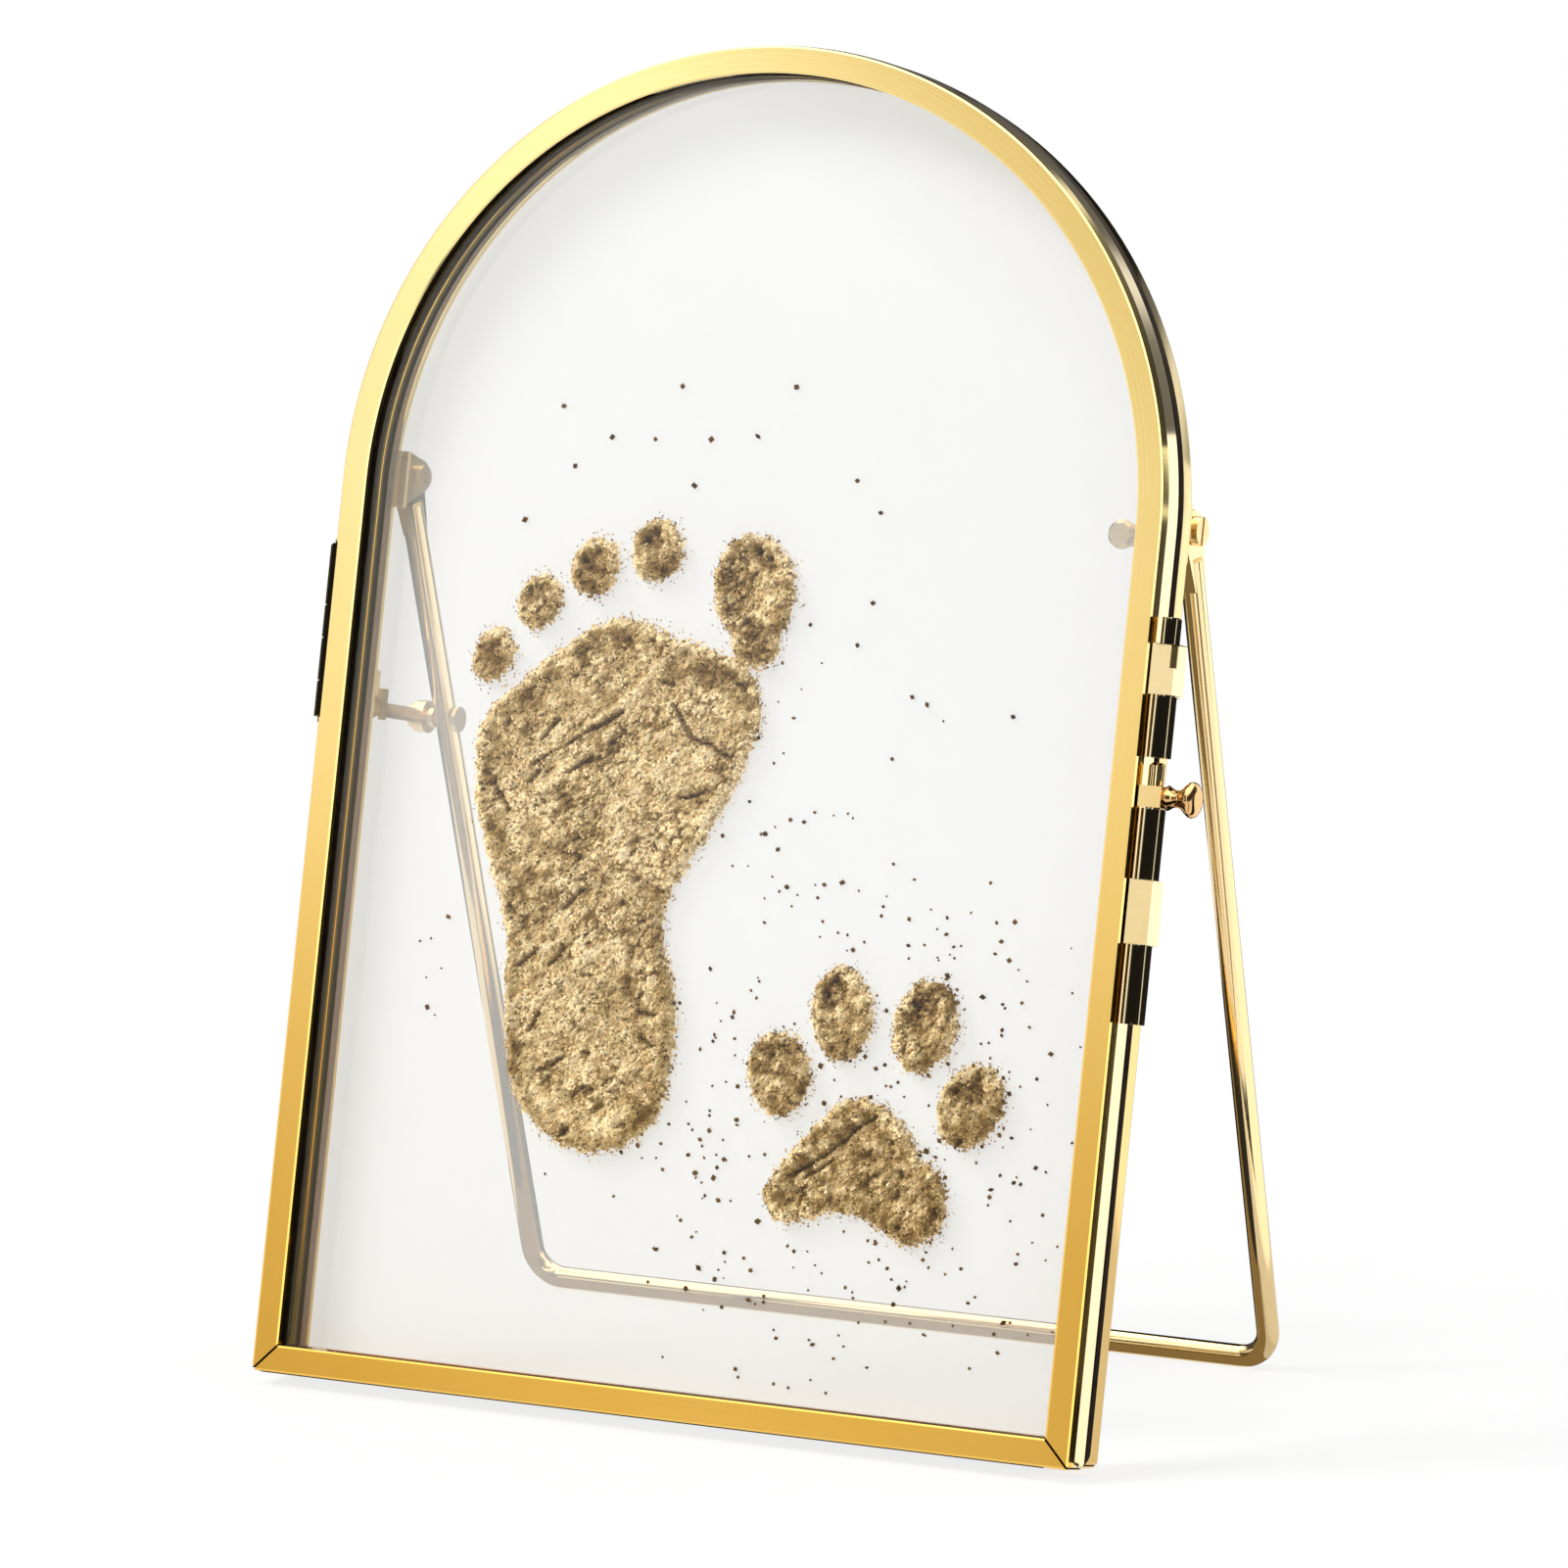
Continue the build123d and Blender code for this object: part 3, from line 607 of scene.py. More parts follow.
# Bands along the edge: strength, distance inside the edge and width; a raised rim of sand, a painted
# shadow band, a painted highlight on the rim, and painted shade on the side away from the light
raised_rim = (0.35, 1.1, 0.8)
shadow_band = (0.85, 2.8, 1.7)
rim_highlight = (0.30, 0.6, 0.7)
away_shade = (0.50, 1.0, 1.1)
# Widths of drawn marks, and heights of these and of the crackle, in millimetres
ridge_width = 0.75
crack_width = 0.34
pit_width = 0.55
ridge_height = 0.55
crack_depth = 0.90
pit_depth = 1.20
split_depth = 0.42
border_height = 0.20
# Brown of the sand and painted shadow: a painted shadow band inside the edge on the side towards the
# light, brown patches, painted shadow in the splits, and less on ridges and the rim as painted highlight
light_side = Vector((-0.45, 0.89))
patch_brown = 0.95
clump_mean = 0.7
clump_gain = 1.3
split_shadow_tint = 0.25
ridge_highlight = 0.35
most_brown_and_shadow = 0.95
brown_and_shadow_depth = 0.66
# Painted light and shade of the sand: its mean, the painted highlight that high relief, the rim, ridges
# and borders add, and the painted shade that cracks, pits and splits take away
mean_shade = 1.08
relief_shade = 0.95
warm_shade = 0.9
ridge_shade = 0.25
border_shade = 0.18
crack_shade = 0.85
pit_shade = 0.92
split_shade = 0.50
least_shade = 0.06
# Grains past the sand's edge: where its cover ends, how far they spill, how many and how sunk
print_margin = 1.6
cover_slip = 0.2
spill_reach = 1.5
spill_share = 0.26
spill_size = 0.65
spill_lift = 0.5
spill_fades = (1.1, 1.0, 0.9, 0.45)

# Marks in the prints, by local u and v
foot_ridges = [
    [(-39.6, 89.1), (-28.6, 95.9), (-16.9, 105.0), (-11.3, 112.3)],
    [(-32.2, 88.0), (-23.4, 96.3), (-18.9, 100.2)],
    [(-11.4, 103.4), (-9.2, 103.1), (-7.4, 104.0)],
    [(-8.9, 90.8), (-6.4, 91.9), (-3.2, 93.2)],
    [(-32.6, 54.7), (-23.9, 62.9), (-19.7, 67.0)],
    [(-16.3, 52.1), (-11.8, 50.0), (-15.6, 46.5)],
    [(-16.4, 65.8), (-13.2, 65.1)],
    [(-26.9, 76.4), (-24.3, 75.9)],
]
foot_cracks = [
    [(-10.9, 103.5), (-8.9, 100.6), (-7.2, 98.5), (-4.1, 97.9), (-0.6, 96.3)],
    [(-33.5, 92.9), (-23.7, 99.2), (-19.1, 101.9)],
    [(-27.1, 92.4), (-23.6, 95.1)],
    [(-20.5, 97.2), (-18.8, 98.9), (-19.6, 99.9)],
    [(-39.3, 90.1), (-37.5, 87.6), (-36.4, 86.0)],
    [(-33.7, 90.5), (-32.0, 92.3)],
    [(-1.2, 107.8), (0.5, 106.6)],
    [(-13.3, 106.6), (-11.2, 106.4)],
    [(-8.8, 90.3), (-7.7, 89.9), (-4.8, 91.1)],
    [(-32.1, 97.0), (-29.8, 100.1)],
    [(-27.2, 64.2), (-26.3, 65.1), (-25.1, 66.9)],
    [(-29.3, 54.4), (-28.2, 57.1)],
    [(-32.3, 63.5), (-29.6, 66.2)],
    [(-11.3, 54.7), (-9.0, 53.7)],
    [(-21.5, 45.2), (-19.5, 46.8), (-18.1, 46.5)],
    [(-27.5, 48.3), (-23.2, 50.8)],
    [(-25.7, 72.5), (-22.9, 75.5)],
    [(-11.7, 58.4), (-9.2, 58.0)],
]
foot_pits = [
    (-25.9, 125.1), (-28.2, 123.3), (-16.5, 128.2), (-17.9, 127.2), (-36.4, 119.1), (-44.2, 109.6),
    (0.8, 126.6), (2.7, 125.9), (-0.3, 116.2), (-19.4, 112.6), (-15.3, 112.6), (-27.6, 106.6),
    (-38.2, 98.9), (-14.1, 77.7), (-16.2, 74.0), (-19.6, 51.8), (-22.1, 40.0), (-12.5, 41.9),
    (-25.6, 47.3), (-16.5, 44.6),
]
paw_ridges = [[(16.0, 39.4), (20.9, 42.7), (25.4, 47.0), (28.2, 48.0)]]
paw_cracks = [[(16.6, 37.6), (21.5, 41.0), (26.4, 45.4), (28.9, 46.8)], [(18.0, 36.9), (22.4, 40.0)]]
paw_pits = [
    (27.5, 41.0), (33.3, 38.9), (33.1, 35.9), (39.3, 34.0), (31.4, 43.3), (33.6, 31.2),
    (20.1, 65.6), (19.0, 63.4), (10.8, 54.1), (16.3, 49.2), (33.0, 63.3), (30.9, 55.6),
    (40.6, 51.7), (43.4, 50.5), (42.1, 44.3),
]


def outline_loops(node):
    """Closed outlines of a print's front faces, each as rows of local u, v."""
    bm = bmesh.new()
    bm.from_mesh(nodes[node].data)
    bmesh.ops.remove_doubles(bm, verts=bm.verts, dist=weld_distance)
    front = [f for f in bm.faces if f.normal.dot(BACK) < -facing_share]
    links = {}
    for face in front:
        for loop in face.loops:
            if sum(f in front for f in loop.edge.link_faces) == 1:
                links[loop.vert.index] = loop.link_loop_next.vert.index
    bm.verts.ensure_lookup_table()
    loops = []
    while links:
        first, current = next(iter(links.items()))
        ring = [first]
        del links[first]
        while current != first:
            ring.append(current)
            current = links.pop(current)
        loops.append(to_local([bm.verts[i].co[:] for i in ring])[:, :2])
    bm.free()
    return loops


def segment_gaps(points, starts, ends):
    """Distance of each point to the nearest of the segments."""
    step = ends - starts
    rel = points[:, None, :] - starts[None]
    share = np.clip((rel * step).sum(2) / (step**2).sum(1), 0, 1)
    return np.linalg.norm(rel - share[..., None] * step, axis=2).min(1)


def edge_distance(points, outline):
    """Distance of each point to the outline, positive inside it."""
    ends = np.roll(outline, -1, axis=0)
    gap = segment_gaps(points, outline, ends)
    y0, y1 = outline[:, 1], ends[:, 1]
    crosses = (y0[None] > points[:, 1:2]) != (y1[None] > points[:, 1:2])
    with np.errstate(divide="ignore", invalid="ignore"):
        hit_u = outline[:, 0] + (points[:, 1:2] - y0) / (y1 - y0) * (ends - outline)[:, 0]
    inside = (crosses & (points[:, 0:1] < hit_u)).sum(1) % 2 == 1
    return np.where(inside, gap, -gap)


def line_gaps(points, lines):
    """Distance of each point to the nearest of some drawn lines."""
    starts = np.array([a for line in lines for a in line[:-1]])
    ends = np.array([b for line in lines for b in line[1:]])
    return segment_gaps(points, starts, ends)


def bell(value, width):
    """Smooth bump of height 1 round zero."""
    return math.exp(-((value / width) ** 2))


def band(inset, strength, inside, width):
    """Strength of a band along the edge of the sand."""
    return strength * bell(inset - inside, width)


def clamp(value, low=0.0, high=1.0):
    """Value kept between two limits."""
    return min(high, max(low, value))


def field(u, v, scale, layer):
    """Smooth noise with a scale per millimetre, each layer different."""
    return noise.noise(Vector((u * scale, v * scale, layer)))


def drag_axes(u, v):
    """Distances along the drag marks and across them."""
    return drag_cos * u + drag_sin * v, -drag_sin * u + drag_cos * v


def ragged(u, v):
    """How far the sand's edge wanders from the outline, in millimetres."""
    slow = field(u, v, scale=0.5, layer=2.2)
    quick = field(u, v, scale=1.7, layer=7.7)
    return slow_wander * slow + quick_wander * quick


def relief(u, v):
    """Lumps and diagonal drag marks of pressed sand, in millimetres."""
    along, over = drag_axes(u, v)
    drag = noise.noise(Vector((along * 0.10, over * 0.55, 3.1)))
    lump = noise.fractal(Vector((u * 0.24, v * 0.24, 9.4)), 0.8, 2.1, 4)
    clod = field(u, v, scale=0.75, layer=1.7)
    crumb = field(u, v, scale=1.6, layer=5.2)
    return drag_height * drag + lump_height * lump + clod_height * clod + crumb_height * crumb


def crackle(u, v):
    """Patches of fine crackle across the drag marks: its cracks and the raised borders beside them."""
    along, over = drag_axes(u, v)
    nearest = noise.voronoi(Vector((along * 0.34, over * 0.52, 1.3)))[0]
    gap = nearest[1] - nearest[0]
    patch = clamp(patch_cover + patch_gain * field(u, v, scale=0.15, layer=8.8))
    return patch * bell(gap, split_width), patch * bell(gap - border_place, border_width)


def sand_tone(level):
    """Colour of sand of a level: pale sand is creamy and dark sand a warm brown."""
    level = clamp(level, *level_limits)
    return tuple(c * level**power for c, power in zip(pale_sand, warm_powers))


class Print:
    """One outline of a print with the height and tone of its sand."""

    def __init__(self, outline, ridges, cracks, pits, warmth):
        self.outline = outline
        self.centre = Vector(outline.mean(0))
        self.ridges, self.cracks, self.pits = ridges, cracks, np.array(pits)
        self.warmth = warmth

    def places(self, points):
        """For each point its inset from the ragged edge and its marks: ridge, crack and pit."""
        wander = np.array([ragged(u, v) for u, v in points])
        inset = edge_distance(points, self.outline) + wander
        sway = points + mark_wander * wander[:, None]
        ridge = line_gaps(sway, self.ridges)
        crack = line_gaps(sway, self.cracks)
        pit = np.linalg.norm(sway[:, None] - self.pits[None], axis=2).min(1)
        return [
            (u, v, gap, bell(r, ridge_width), bell(c, crack_width), bell(p, pit_width))
            for (u, v), gap, r, c, p in zip(points, inset, ridge, crack, pit)
        ]

    def height(self, u, v, inset, ridge, crack, pit):
        """Height of the sand above the glass."""
        rise = clamp(inset / rise_width)
        hollow = clamp((inset - hollow_start) / hollow_width)
        body = heap * (edge_share + (1 - edge_share) * math.sqrt(rise))
        body += band(inset, *raised_rim)
        body -= hollow_depth * hollow
        split, border = crackle(u, v)
        marks = ridge_height * ridge - crack_depth * crack - pit_depth * pit
        marks = marks - split_depth * split + border_height * border
        return max(least_height, body + (relief(u, v) + marks) * rise)

    def tone(self, u, v, inset, ridge, crack, pit, rng):
        """Colour of a grain: paler on high relief, ridges and the rim as painted highlight, darker in
        low relief, cracks, pits and splits as painted shade, brown in patches, with a painted shadow
        band inside the rim towards the light and painted shade at the edge away from it.
        """
        facing = (Vector((u, v)) - self.centre).normalized().dot(light_side)
        side = max(0.0, facing)
        away_from_light = max(0.0, -facing)
        patch = noise.fractal(Vector((u * 0.16, v * 0.16, 4.4)), 0.9, 2.0, 3)
        clump = max(0.0, clump_mean + clump_gain * field(u, v, scale=0.55, layer=6.1))
        split, border = crackle(u, v)
        rim = band(inset, *rim_highlight)
        # Brown patches, with the painted shadow band inside the rim and painted shadow in the splits
        brown_and_shadow = band(inset, *shadow_band) * side + patch_brown * max(0.0, patch) + self.warmth
        brown_and_shadow = clamp(brown_and_shadow * clump + split_shadow_tint * split - ridge_highlight * ridge - rim, 0.0, most_brown_and_shadow)
        # Painted light and shade from the relief, the rim, ridges, borders, cracks, pits and splits
        shade = mean_shade + (relief_shade + warm_shade * self.warmth) * relief(u, v)
        shade = shade + rim + ridge_shade * ridge + border_shade * border
        shade *= (1 - crack_shade * crack) * (1 - pit_shade * pit) * (1 - split_shade * split)
        # Painted shade near the edge on the side away from the light
        shade = max(least_shade, shade * (1 - band(inset, *away_shade) * away_from_light))
        level = rng.choices(grain_levels, level_weights)[0]
        return sand_tone(level * shade * (1 - brown_and_shadow_depth * brown_and_shadow))


def add_grain(verts, faces, tones, centre, size, tone, rng):
    """Adds one squashed, turned grain round a local place."""
    turn = rng.uniform(0, math.tau)
    lean = rng.uniform(0, math.tau)
    ca, sa, cb, sb = math.cos(turn), math.sin(turn), math.cos(lean), math.sin(lean)
    stretch = [size * rng.uniform(*grain_squash) for _ in range(3)]
    base = len(verts)
    for x, y, z in octahedron:
        x, y, z = x * stretch[0], y * stretch[1], z * stretch[2]
        x, y = ca * x - sa * y, sa * x + ca * y
        y, z = cb * y - sb * z, sb * y + cb * z
        verts.append((centre[0] + x, centre[1] + y, centre[2] + z))
        tones.append(tone)
    faces.extend(tuple(base + i for i in face) for face in octahedron_faces)


def finish_sand(name, verts, faces, tones, replaced):
    """Makes the piece from local points, with each point's tone as a colour attribute."""
    mesh = bpy.data.meshes.new(name)
    mesh.from_pydata([place(*p) for p in verts], [], faces)
    layer = mesh.color_attributes.new("tone", "FLOAT_COLOR", "POINT")
    layer.data.foreach_set("color", np.array([(*t, 1.0) for t in tones]).ravel())
    piece = new_object(name, mesh, sand_grain, "back_frame")
    if replaced:
        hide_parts(replaced)


def add_relief(verts, faces, tones, shape, low, high, rng):
    """Adds a print's closed relief: its top, its flat back on the glass and its edge."""
    us = np.arange(low[0], high[0], relief_step)
    vs = np.arange(low[1], high[1], relief_step)
    grid = np.array([(u, v) for v in vs for u in us])
    top = {}
    for k, spot in enumerate(shape.places(grid)):
        if spot[2] > 0:
            top[k] = len(verts)
            verts.append((spot[0], spot[1], sand_face - shape.height(*spot)))
            tones.append(tuple(c * gap_shade for c in shape.tone(*spot, rng)))
    floor = {}
    for k in top:
        floor[k] = len(verts)
        verts.append((*grid[k], sand_face))
        tones.append(sand_tone(rng.choices(grain_levels, level_weights)[0]))
    wide = len(us)
    edges = set()
    for k in top:
        quad = (k, k + 1, k + 1 + wide, k + wide)
        if all(q in top for q in quad):
            faces.append(tuple(top[q] for q in quad))
            faces.append(tuple(floor[q] for q in reversed(quad)))
            edges.update(zip(quad, quad[1:] + quad[:1]))
    for a, b in sorted(edges):
        if (b, a) not in edges:
            faces.append((top[b], top[a], floor[a], floor[b]))


def sand_print(name, node, marks, seed, warmth, spacing, joins=()):
    """A print's relief and grains, made from the outlines of its CAD node and of thin joins between."""
    rng = random.Random(seed)
    verts, faces, tones = [], [], []
    for outline in outline_loops(node) + list(joins):
        shape = Print(outline, *marks, warmth)
        low = outline.min(0) - print_margin
        high = outline.max(0) + print_margin
        add_relief(verts, faces, tones, shape, low, high, rng)
        count = int((high[0] - low[0]) * (high[1] - low[1]) / spacing**2)
        spots = [(rng.uniform(low[0], high[0]), rng.uniform(low[1], high[1])) for _ in range(count)]
        for spot in shape.places(np.array(spots)):
            u, v, inset = spot[:3]
            size = rng.uniform(*grain_radius)
            hole = max(spot[4], spot[5])
            if inset > -cover_slip and rng.random() > hole:
                lift = shape.height(*spot) if inset > 0 else cover_slip
                tone = shape.tone(*spot, rng)
                add_grain(verts, faces, tones, (u, v, sand_face - lift), size, tone, rng)
            elif (
                -spill_reach < inset < -cover_slip
                and rng.random() < spill_share * (spill_reach + inset)
            ):
                fade = rng.choice(spill_fades)
                tone = tuple(c * fade for c in shape.tone(*spot, rng))
                centre = (u, v, sand_face - size * spill_lift)
                add_grain(verts, faces, tones, centre, size * spill_size, tone, rng)
    finish_sand(name, verts, faces, tones, node)


# Sand that joins the big toe to the ball of the foot
neck_centre = np.array((1.2, 113.9))
neck_half = np.array((4.2, 4.5))
neck_points = 16
neck_angles = [math.tau * i / neck_points for i in range(neck_points)]
toe_neck = np.array([neck_centre + neck_half * (math.cos(a), math.sin(a)) for a in neck_angles])
foot_marks = (foot_ridges, foot_cracks, foot_pits)
paw_marks = (paw_ridges, paw_cracks, paw_pits)
sole_joins = [toe_neck]
sand_print("sole_sand", "sand_foot_sole", foot_marks, 3, warmth=0.04, spacing=0.38, joins=sole_joins)
sand_print("toes_sand", "sand_foot_toes", foot_marks, 4, warmth=0.26, spacing=0.34)
sand_print("pad_sand", "sand_paw_pad", paw_marks, 5, warmth=0.48, spacing=0.34)
sand_print("paw_toes_sand", "sand_paw_toes", paw_marks, 6, warmth=0.42, spacing=0.34)

# Loose grains: single ones above the toes, then clusters of (u, v, width, height, count)
single_grains = [
    (-34.5, 146.0), (-15.1, 150.0), (3.6, 150.9), (-31.6, 137.3), (-25.9, 141.9), (-18.7, 142.0),
    (-9.5, 142.5), (-11.5, 135.6), (-1.9, 143.4), (15.0, 137.9), (19.3, 133.5), (-39.1, 128.9),
    (19.5, 120.4), (29.8, 106.4),
]
grain_clusters = [
    (12, 108, 16, 26, 14), (8, 84, 14, 16, 26), (28, 72, 26, 12, 34),
    (28, 46, 44, 34, 190), (2, 44, 10, 26, 40), (24, 20, 30, 10, 40),
    (46, 52, 8, 30, 26), (-46, 70, 6, 40, 8), (16, 8.5, 20, 3, 6),
]


loose_seed = 11
single_size = 0.50
least_size = 0.22
size_spread = 0.30
loose_lift = 0.7
loose_levels = (0.05, 0.20)
clear_edge = 2


def loose_grains():
    """Single grains scattered on the back pane."""
    rng = random.Random(loose_seed)
    spots = [(u, v, single_size) for u, v in single_grains]
    for u0, v0, wide, tall, count in grain_clusters:
        for _ in range(count):
            size = least_size + size_spread * rng.random() ** 2
            spots.append((rng.gauss(u0, wide / 2), rng.gauss(v0, tall / 2), size))
    verts, faces, tones = [], [], []
    for u, v, size in spots:
        if abs(u) < half_width - rail_face - clear_edge and v > rail_face + clear_edge:
            tone = sand_tone(rng.uniform(*loose_levels))
            add_grain(verts, faces, tones, (u, v, sand_face - size * loose_lift), size, tone, rng)
    finish_sand("loose_grains", verts, faces, tones, None)


loose_grains()


# Studio: white floor and world, one broad lamp, and dark and bright cards that only mirrors see
white = (1.0, 1.0, 1.0)
warm = (1.0, 0.76, 0.42)
floor_side = 3.5
floor_white_share = 0.82
plain_strength = 0.5
sun_place = Vector((-0.62, -0.50, 0.92))
sun_strength = 2.5
sun_angle = math.radians(24)
middle = place(0, height / 2, 0)


def oblong(low, high):
    """Corners of an oblong, from its lowest and its highest one."""
    return [low, (high[0], low[1]), high, (low[0], high[1])]


def studio_floor():
    """Pale floor that keeps the object's shadow, white in part to the camera and to mirrors."""
    mesh = bpy.data.meshes.new("floor")
    corners = oblong((-floor_side, -floor_side), (floor_side, floor_side))
    mesh.from_pydata([(x, y, 0) for x, y in corners], [], [(0, 1, 2, 3)])
    floor = linked_object("floor", mesh)
    material, tree = new_material("floor_white")
    inputs = {"Base Color": (0.97, 0.97, 0.97, 1), "Roughness": 0.9, "Specular IOR Level": 0.1}
    shader = add_node(tree, "BsdfPrincipled", inputs)
    seen = any_ray(tree, "Camera", "Glossy", "Transmission")
    share = add_node(tree, "Math", {0: seen, 1: floor_white_share}, operation="MULTIPLY")
    glow = add_node(tree, "Emission")
    mix = mix_shaders(tree, share["Value"], shader["BSDF"], glow["Emission"])
    add_node(tree, "OutputMaterial", {"Surface": mix})
    mesh.materials.append(material)


# What polished metal mirrors of the world
mirror_peak = 3.0
face_mirror = Vector((-0.46, -0.861, 0.219)).normalized()
upwards = (0.0, 0.0, 1.0)
leftwards = (-1.0, 0.0, 0.0)
left_and_down = (-1.0, 0.0, -1.0)
# Grey all round, over the angle from straight in front towards the right
mirror_round = [
    (-180, 0.05), (-150, 0.03), (-76, 0.02), (-72, 0.36), (-58, 0.36), (-54, 0.02), (4, 0.02),
    (7, 0.60), (18, 0.60), (21, 0.02), (148, 0.02), (160, 0.05), (168, 0.07), (172, 0.32),
    (175, 0.32), (179, 0.05),
]
# Grey of the soft light that the flat front faces mirror: brighter upwards, dimmer at two sides
mirror_rise = [
    (0.145, 0.34), (0.157, 0.30), (0.175, 0.295), (0.20, 0.36), (0.22, 0.41), (0.24, 0.40),
    (0.265, 0.42), (0.29, 0.58),
]
mirror_right = [(0.40, 0.80), (0.43, 0.88), (0.46, 1.0)]
mirror_sides = [
    (0.146, 0.25), (0.153, 0.28), (0.165, 0.36), (0.18, 0.58), (0.315, 0.58), (0.33, 0.32),
    (0.345, 0.30), (0.355, 0.26),
]
# Its dim parts are warm and its bright ones white
mirror_warmth = [
    (0.0, (0.0, 0.0, 0.0)),
    (0.25, (0.25, 0.215, 0.128)),
    (0.30, (0.30, 0.276, 0.207)),
    (0.36, (0.36, 0.35, 0.324)),
    (0.42, (0.42, 0.42, 0.42)),
    (1.0, (1.0, 1.0, 1.0)),
]
# Where that light lies, and the bright light from above
mirror_front = [(0.988, 0.0), (0.9955, 1.0)]
mirror_above = [(0.45, 0.0), (0.75, 0.85)]


def grey_ramp(tree, source, stops):
    """Grey levels over source."""
    return ramp_node(tree, source, [(at, (grey, grey, grey)) for at, grey in stops])


def direction_ramp(tree, direction, stops):
    """Grey levels over how much a world direction points along another."""
    coords = add_node(tree, "TexCoord")
    inputs = {0: coords["Generated"], 1: direction}
    return grey_ramp(tree, add_node(tree, "VectorMath", inputs, operation="DOT_PRODUCT")["Value"], stops)


def round_ramp(tree):
    """Grey levels of mirror_round over a world direction's angle."""
    coords = add_node(tree, "TexCoord")
    split = add_node(tree, "SeparateXYZ", {"Vector": coords["Generated"]})
    ahead = add_node(tree, "Math", {0: split["Y"], 1: -1.0}, operation="MULTIPLY")
    angle = add_node(tree, "Math", {0: split["X"], 1: ahead["Value"]}, operation="ARCTAN2")
    inputs = {"Value": angle["Value"], "From Min": -math.pi, "From Max": math.pi}
    share = add_node(tree, "MapRange", inputs)
    return grey_ramp(tree, share["Result"], [((at + 180) / 360, grey) for at, grey in mirror_round])


def studio_world():
    """White to sight, plain light on surfaces; polished metal mirrors bright and dark sides."""
    world = bpy.data.worlds.new("studio")
    bpy.context.scene.world = world
    world.use_nodes = True
    tree = world.node_tree
    tree.nodes.clear()
    rise = direction_ramp(tree, upwards, mirror_rise)
    dim = direction_ramp(tree, leftwards, mirror_right)
    across = direction_ramp(tree, left_and_down, mirror_sides)
    lit = mix_colours(tree, "MULTIPLY", 1.0, rise, dim)
    level = mix_colours(tree, "DARKEN", 1.0, lit, across)
    soft = ramp_node(tree, level, mirror_warmth)
    front = direction_ramp(tree, face_mirror, mirror_front)
    sides = mix_colours(tree, "MIX", front, round_ramp(tree), soft)
    above = direction_ramp(tree, upwards, mirror_above)
    room = mix_colours(tree, "LIGHTEN", 1.0, sides, above)
    mirrored = add_node(tree, "Background", {"Color": room, "Strength": mirror_peak})
    plain = add_node(tree, "Background", {"Color": (*white, 1), "Strength": plain_strength})
    bright = add_node(tree, "Background", {"Color": (*white, 1)})
    glossy = any_ray(tree, "Glossy")
    unseen = mix_shaders(tree, glossy, plain["Background"], mirrored["Background"])
    seen = any_ray(tree, "Camera", "Transmission")
    mix = mix_shaders(tree, seen, unseen, bright["Background"])
    add_node(tree, "OutputWorld", {"Surface": mix})


def slanting_light():
    """Broad light from the upper left that brings out the sand's relief, and that no metal mirrors."""
    lamp = bpy.data.lights.new("slanting_light", "SUN")
    lamp.energy = sun_strength
    lamp.angle = sun_angle
    light = linked_object("slanting_light", lamp)
    light.location = sun_place
    light.rotation_euler = (middle - sun_place).to_track_quat("-Z", "Y").to_euler()
    light.visible_camera = False
    light.visible_transmission = False
    light.visible_glossy = False


def mirror_card(name, corners, level, colour=white, faces=None):
    """Card of an even level that only mirrors see."""
    mesh = bpy.data.meshes.new(name)
    mesh.from_pydata(corners, [], faces or [tuple(range(len(corners)))])
    card = linked_object(name, mesh)
    material, tree = new_material(name + "_level")
    glow = add_node(tree, "Emission", {"Color": (*colour, 1), "Strength": level})
    add_node(tree, "OutputMaterial", {"Surface": glow["Emission"]})
    mesh.materials.append(material)
    card.visible_camera = False
    card.visible_transmission = False
    card.visible_diffuse = False
    card.visible_shadow = False


def floor_card(name, outline, level, colour):
    """Card that lies just above the floor, by its outline in x and y."""
    mirror_card(name, [(x, y, floor_gap) for x, y in outline], level, colour)


def floor_sector(first, last, reach):
    """Outline of a sector of the floor between two angles from straight in front."""
    x, y = sector_apex
    angles = arc_angles(first, last, bend_steps)
    return [sector_apex] + [(x + reach * math.sin(a), y - reach * math.cos(a)) for a in angles]


def wall_card(name, near, far, n, level):
    """Card behind the panes that follows the left inner wall, between two distances to its right."""
    radius = half_width - rail_face
    angles = [math.pi * (1 - i / wall_steps) for i in range(wall_steps // 2 + 1)]
    edge = [(-radius, rail_face)]
    edge += [(radius * math.cos(a), spring + radius * math.sin(a)) for a in angles]
    corners = [place(u + near, v, n) for u, v in edge]
    corners += [place(u + far, v, n) for u, v in reversed(edge)]
    mirror_card(name, corners, level)


def barrel_card(name, low_v, high_v, first, last, level):
    """Card bent round the bolt's line, between two heights and two angles from straight in front."""
    corners = []
    for angle in arc_angles(first, last, bend_steps):
        u = bolt_u + barrel_screen * math.sin(angle)
        n = bolt_n - barrel_screen * math.cos(angle)
        corners += [place(u, low_v, n), place(u, high_v, n)]
    faces = [(2 * i, 2 * i + 2, 2 * i + 3, 2 * i + 1) for i in range(bend_steps)]
    mirror_card(name, corners, level, faces=faces)


studio_floor()
studio_world()
slanting_light()

# Places of the cards in metres: the frame's right edge and two lines across the floor behind its foot
edge_x = place(half_width, 0, 0).x
floor_gap = 0.0004
card_foot = 0.001
near_line = 0.014
far_line = 0.045
behind_right = 0.045
dark = 0.01
wall_steps = 48
bend_steps = 8

# Dark card upright behind the panes
behind_y = 0.13
behind = oblong((-0.03, card_foot), (behind_right, 0.2))
mirror_card("card_behind", [(x, behind_y, z) for x, z in behind], dark)

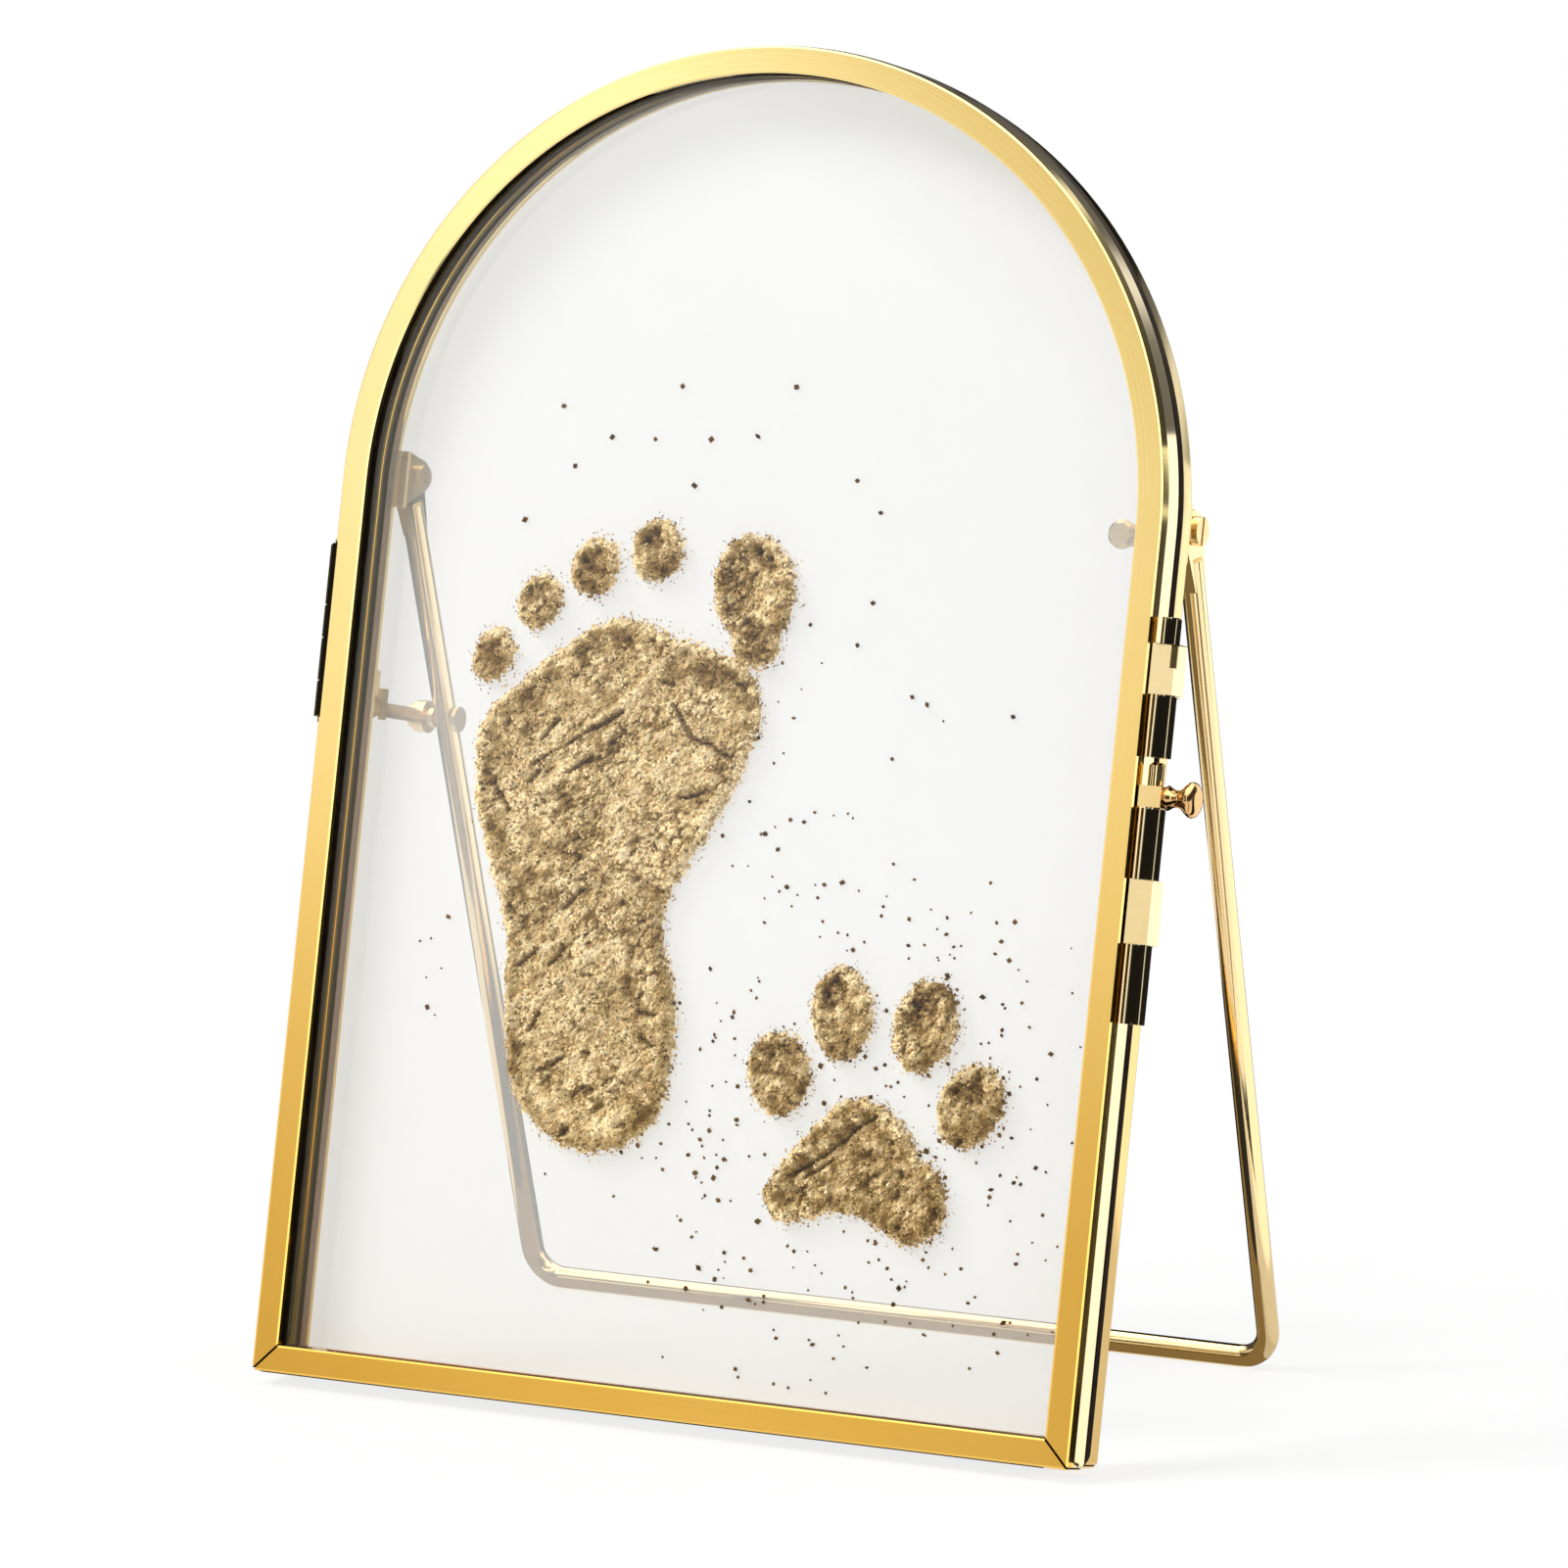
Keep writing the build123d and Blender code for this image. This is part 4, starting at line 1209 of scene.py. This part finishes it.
# Oblong cards on the floor: nearest left corner, farthest right corner, level and colour
floor_oblongs = [
    ("card_low", (-0.12, far_line), (behind_right, 0.40), dark, white),
    ("card_under", (-0.09, -0.040), (edge_x - 0.006, near_line), 0.03, white),
    ("card_fore", (-0.35, -0.35), (0.02, -0.06), 0.2, warm),
    ("card_stand", (-0.09, near_line), (edge_x, far_line), 0.26, warm),
    ("card_left", (-3.4, -0.3), (-0.2, 3.4), 0.02, white),
]
for name, low, high, level, colour in floor_oblongs:
    floor_card(name, oblong(low, high), level, colour)

# Cards that the left inner wall mirrors, just behind the frame
wall_card("card_lip", near=-0.3, far=2.2, n=depth + 0.7, level=0.75)
wall_card("card_wall", near=2.3, far=6.8, n=depth + 0.7, level=0.008)

# Dark card before the hinge's knuckles
hinge_low, hinge_high = local_box("hinge_front_leaf")
hinge_reach = 2.0
hinge_gap = 0.25
hinge_margin = 0.2
hinge_from = (-half_width - hinge_reach, hinge_low[1] - hinge_margin)
hinge_to = (-half_width - hinge_gap, hinge_high[1] + hinge_margin)
mirror_card("card_hinge", [place(u, v, -hinge_gap) for u, v in oblong(hinge_from, hinge_to)], dark)
wall_card("card_streak", near=3.3, far=4.1, n=depth + 0.6, level=0.16)

# Sectors of the floor round the frame's right edge: angles from straight in front, reach, level, colour
sector_apex = (edge_x, -0.035)
floor_sectors = [
    ("card_leg", 40, 62, 0.6, 1.2, white),
    ("card_leg_lane", 62, 78, 0.6, 0.22, warm),
    ("card_leg_side", 78, 116, 0.6, 1.2, white),
    ("card_right", 116, 142, 2.5, 0.02, white),
    ("card_side", 142, 158, 1.6, 1.3, white),
    ("card_back", 158, 184, 1.6, 0.8, white),
]
for name, first, last, reach, level, colour in floor_sectors:
    floor_card(name, floor_sector(first, last, reach), level, colour)

# Cards round the latch's four barrels: angles from straight in front and level
bolt_low, bolt_high = local_box("latch_bolt")
bolt_u = (bolt_low[0] + bolt_high[0]) / 2
bolt_n = (bolt_low[2] + bolt_high[2]) / 2
barrel_screen = 4.4
guide_low, guide_high = [corner[1] for corner in local_box("latch_guide")]
keeper_low, keeper_high = [corner[1] for corner in local_box("latch_keeper")]
barrels = [
    (guide_low, guide_low + 11.3),
    (guide_high - 10.1, guide_high),
    (keeper_low, keeper_low + 8.9),
    (keeper_high - 3.8, keeper_high),
]
barrel_screens = [("front", -30, 70, dark), ("slit", 70, 77, 0.9), ("back", 77, 175, dark)]
for i, (low_v, high_v) in enumerate(barrels):
    for side, first, last, level in barrel_screens:
        barrel_card("card_barrel_%s_%d" % (side, i), low_v, high_v, first, last, level)

# Bright card upright beside the stand's right leg
leg_x = edge_x + 0.036
upright = [(0.003, card_foot), (0.16, card_foot), (0.16, 0.15), (0.036, 0.15)]
mirror_card("card_upright", [(leg_x, y, z) for y, z in upright], 1.35)

# Camera fitted to the photograph's view of the frame's edges
view_azimuth = math.radians(27.797)
view_elevation = math.radians(9.295)
view_distance = 1.24568
view_target = origin + Vector((0.02194, 0.0, 0.09462))
focal_pixels = 9000
image_pixels = 1601
sensor = 36.0
towards_camera = Vector(
    (
        math.sin(view_azimuth) * math.cos(view_elevation),
        -math.cos(view_azimuth) * math.cos(view_elevation),
        math.sin(view_elevation),
    )
)
lens = bpy.data.cameras.new("camera")
lens.sensor_width = sensor
lens.lens = focal_pixels / image_pixels * sensor
camera = linked_object("camera", lens)
camera.location = view_target + towards_camera * view_distance
camera.rotation_euler = (-towards_camera).to_track_quat("-Z", "Y").to_euler()
bpy.context.scene.camera = camera
bpy.context.scene.view_settings.view_transform = "Standard"
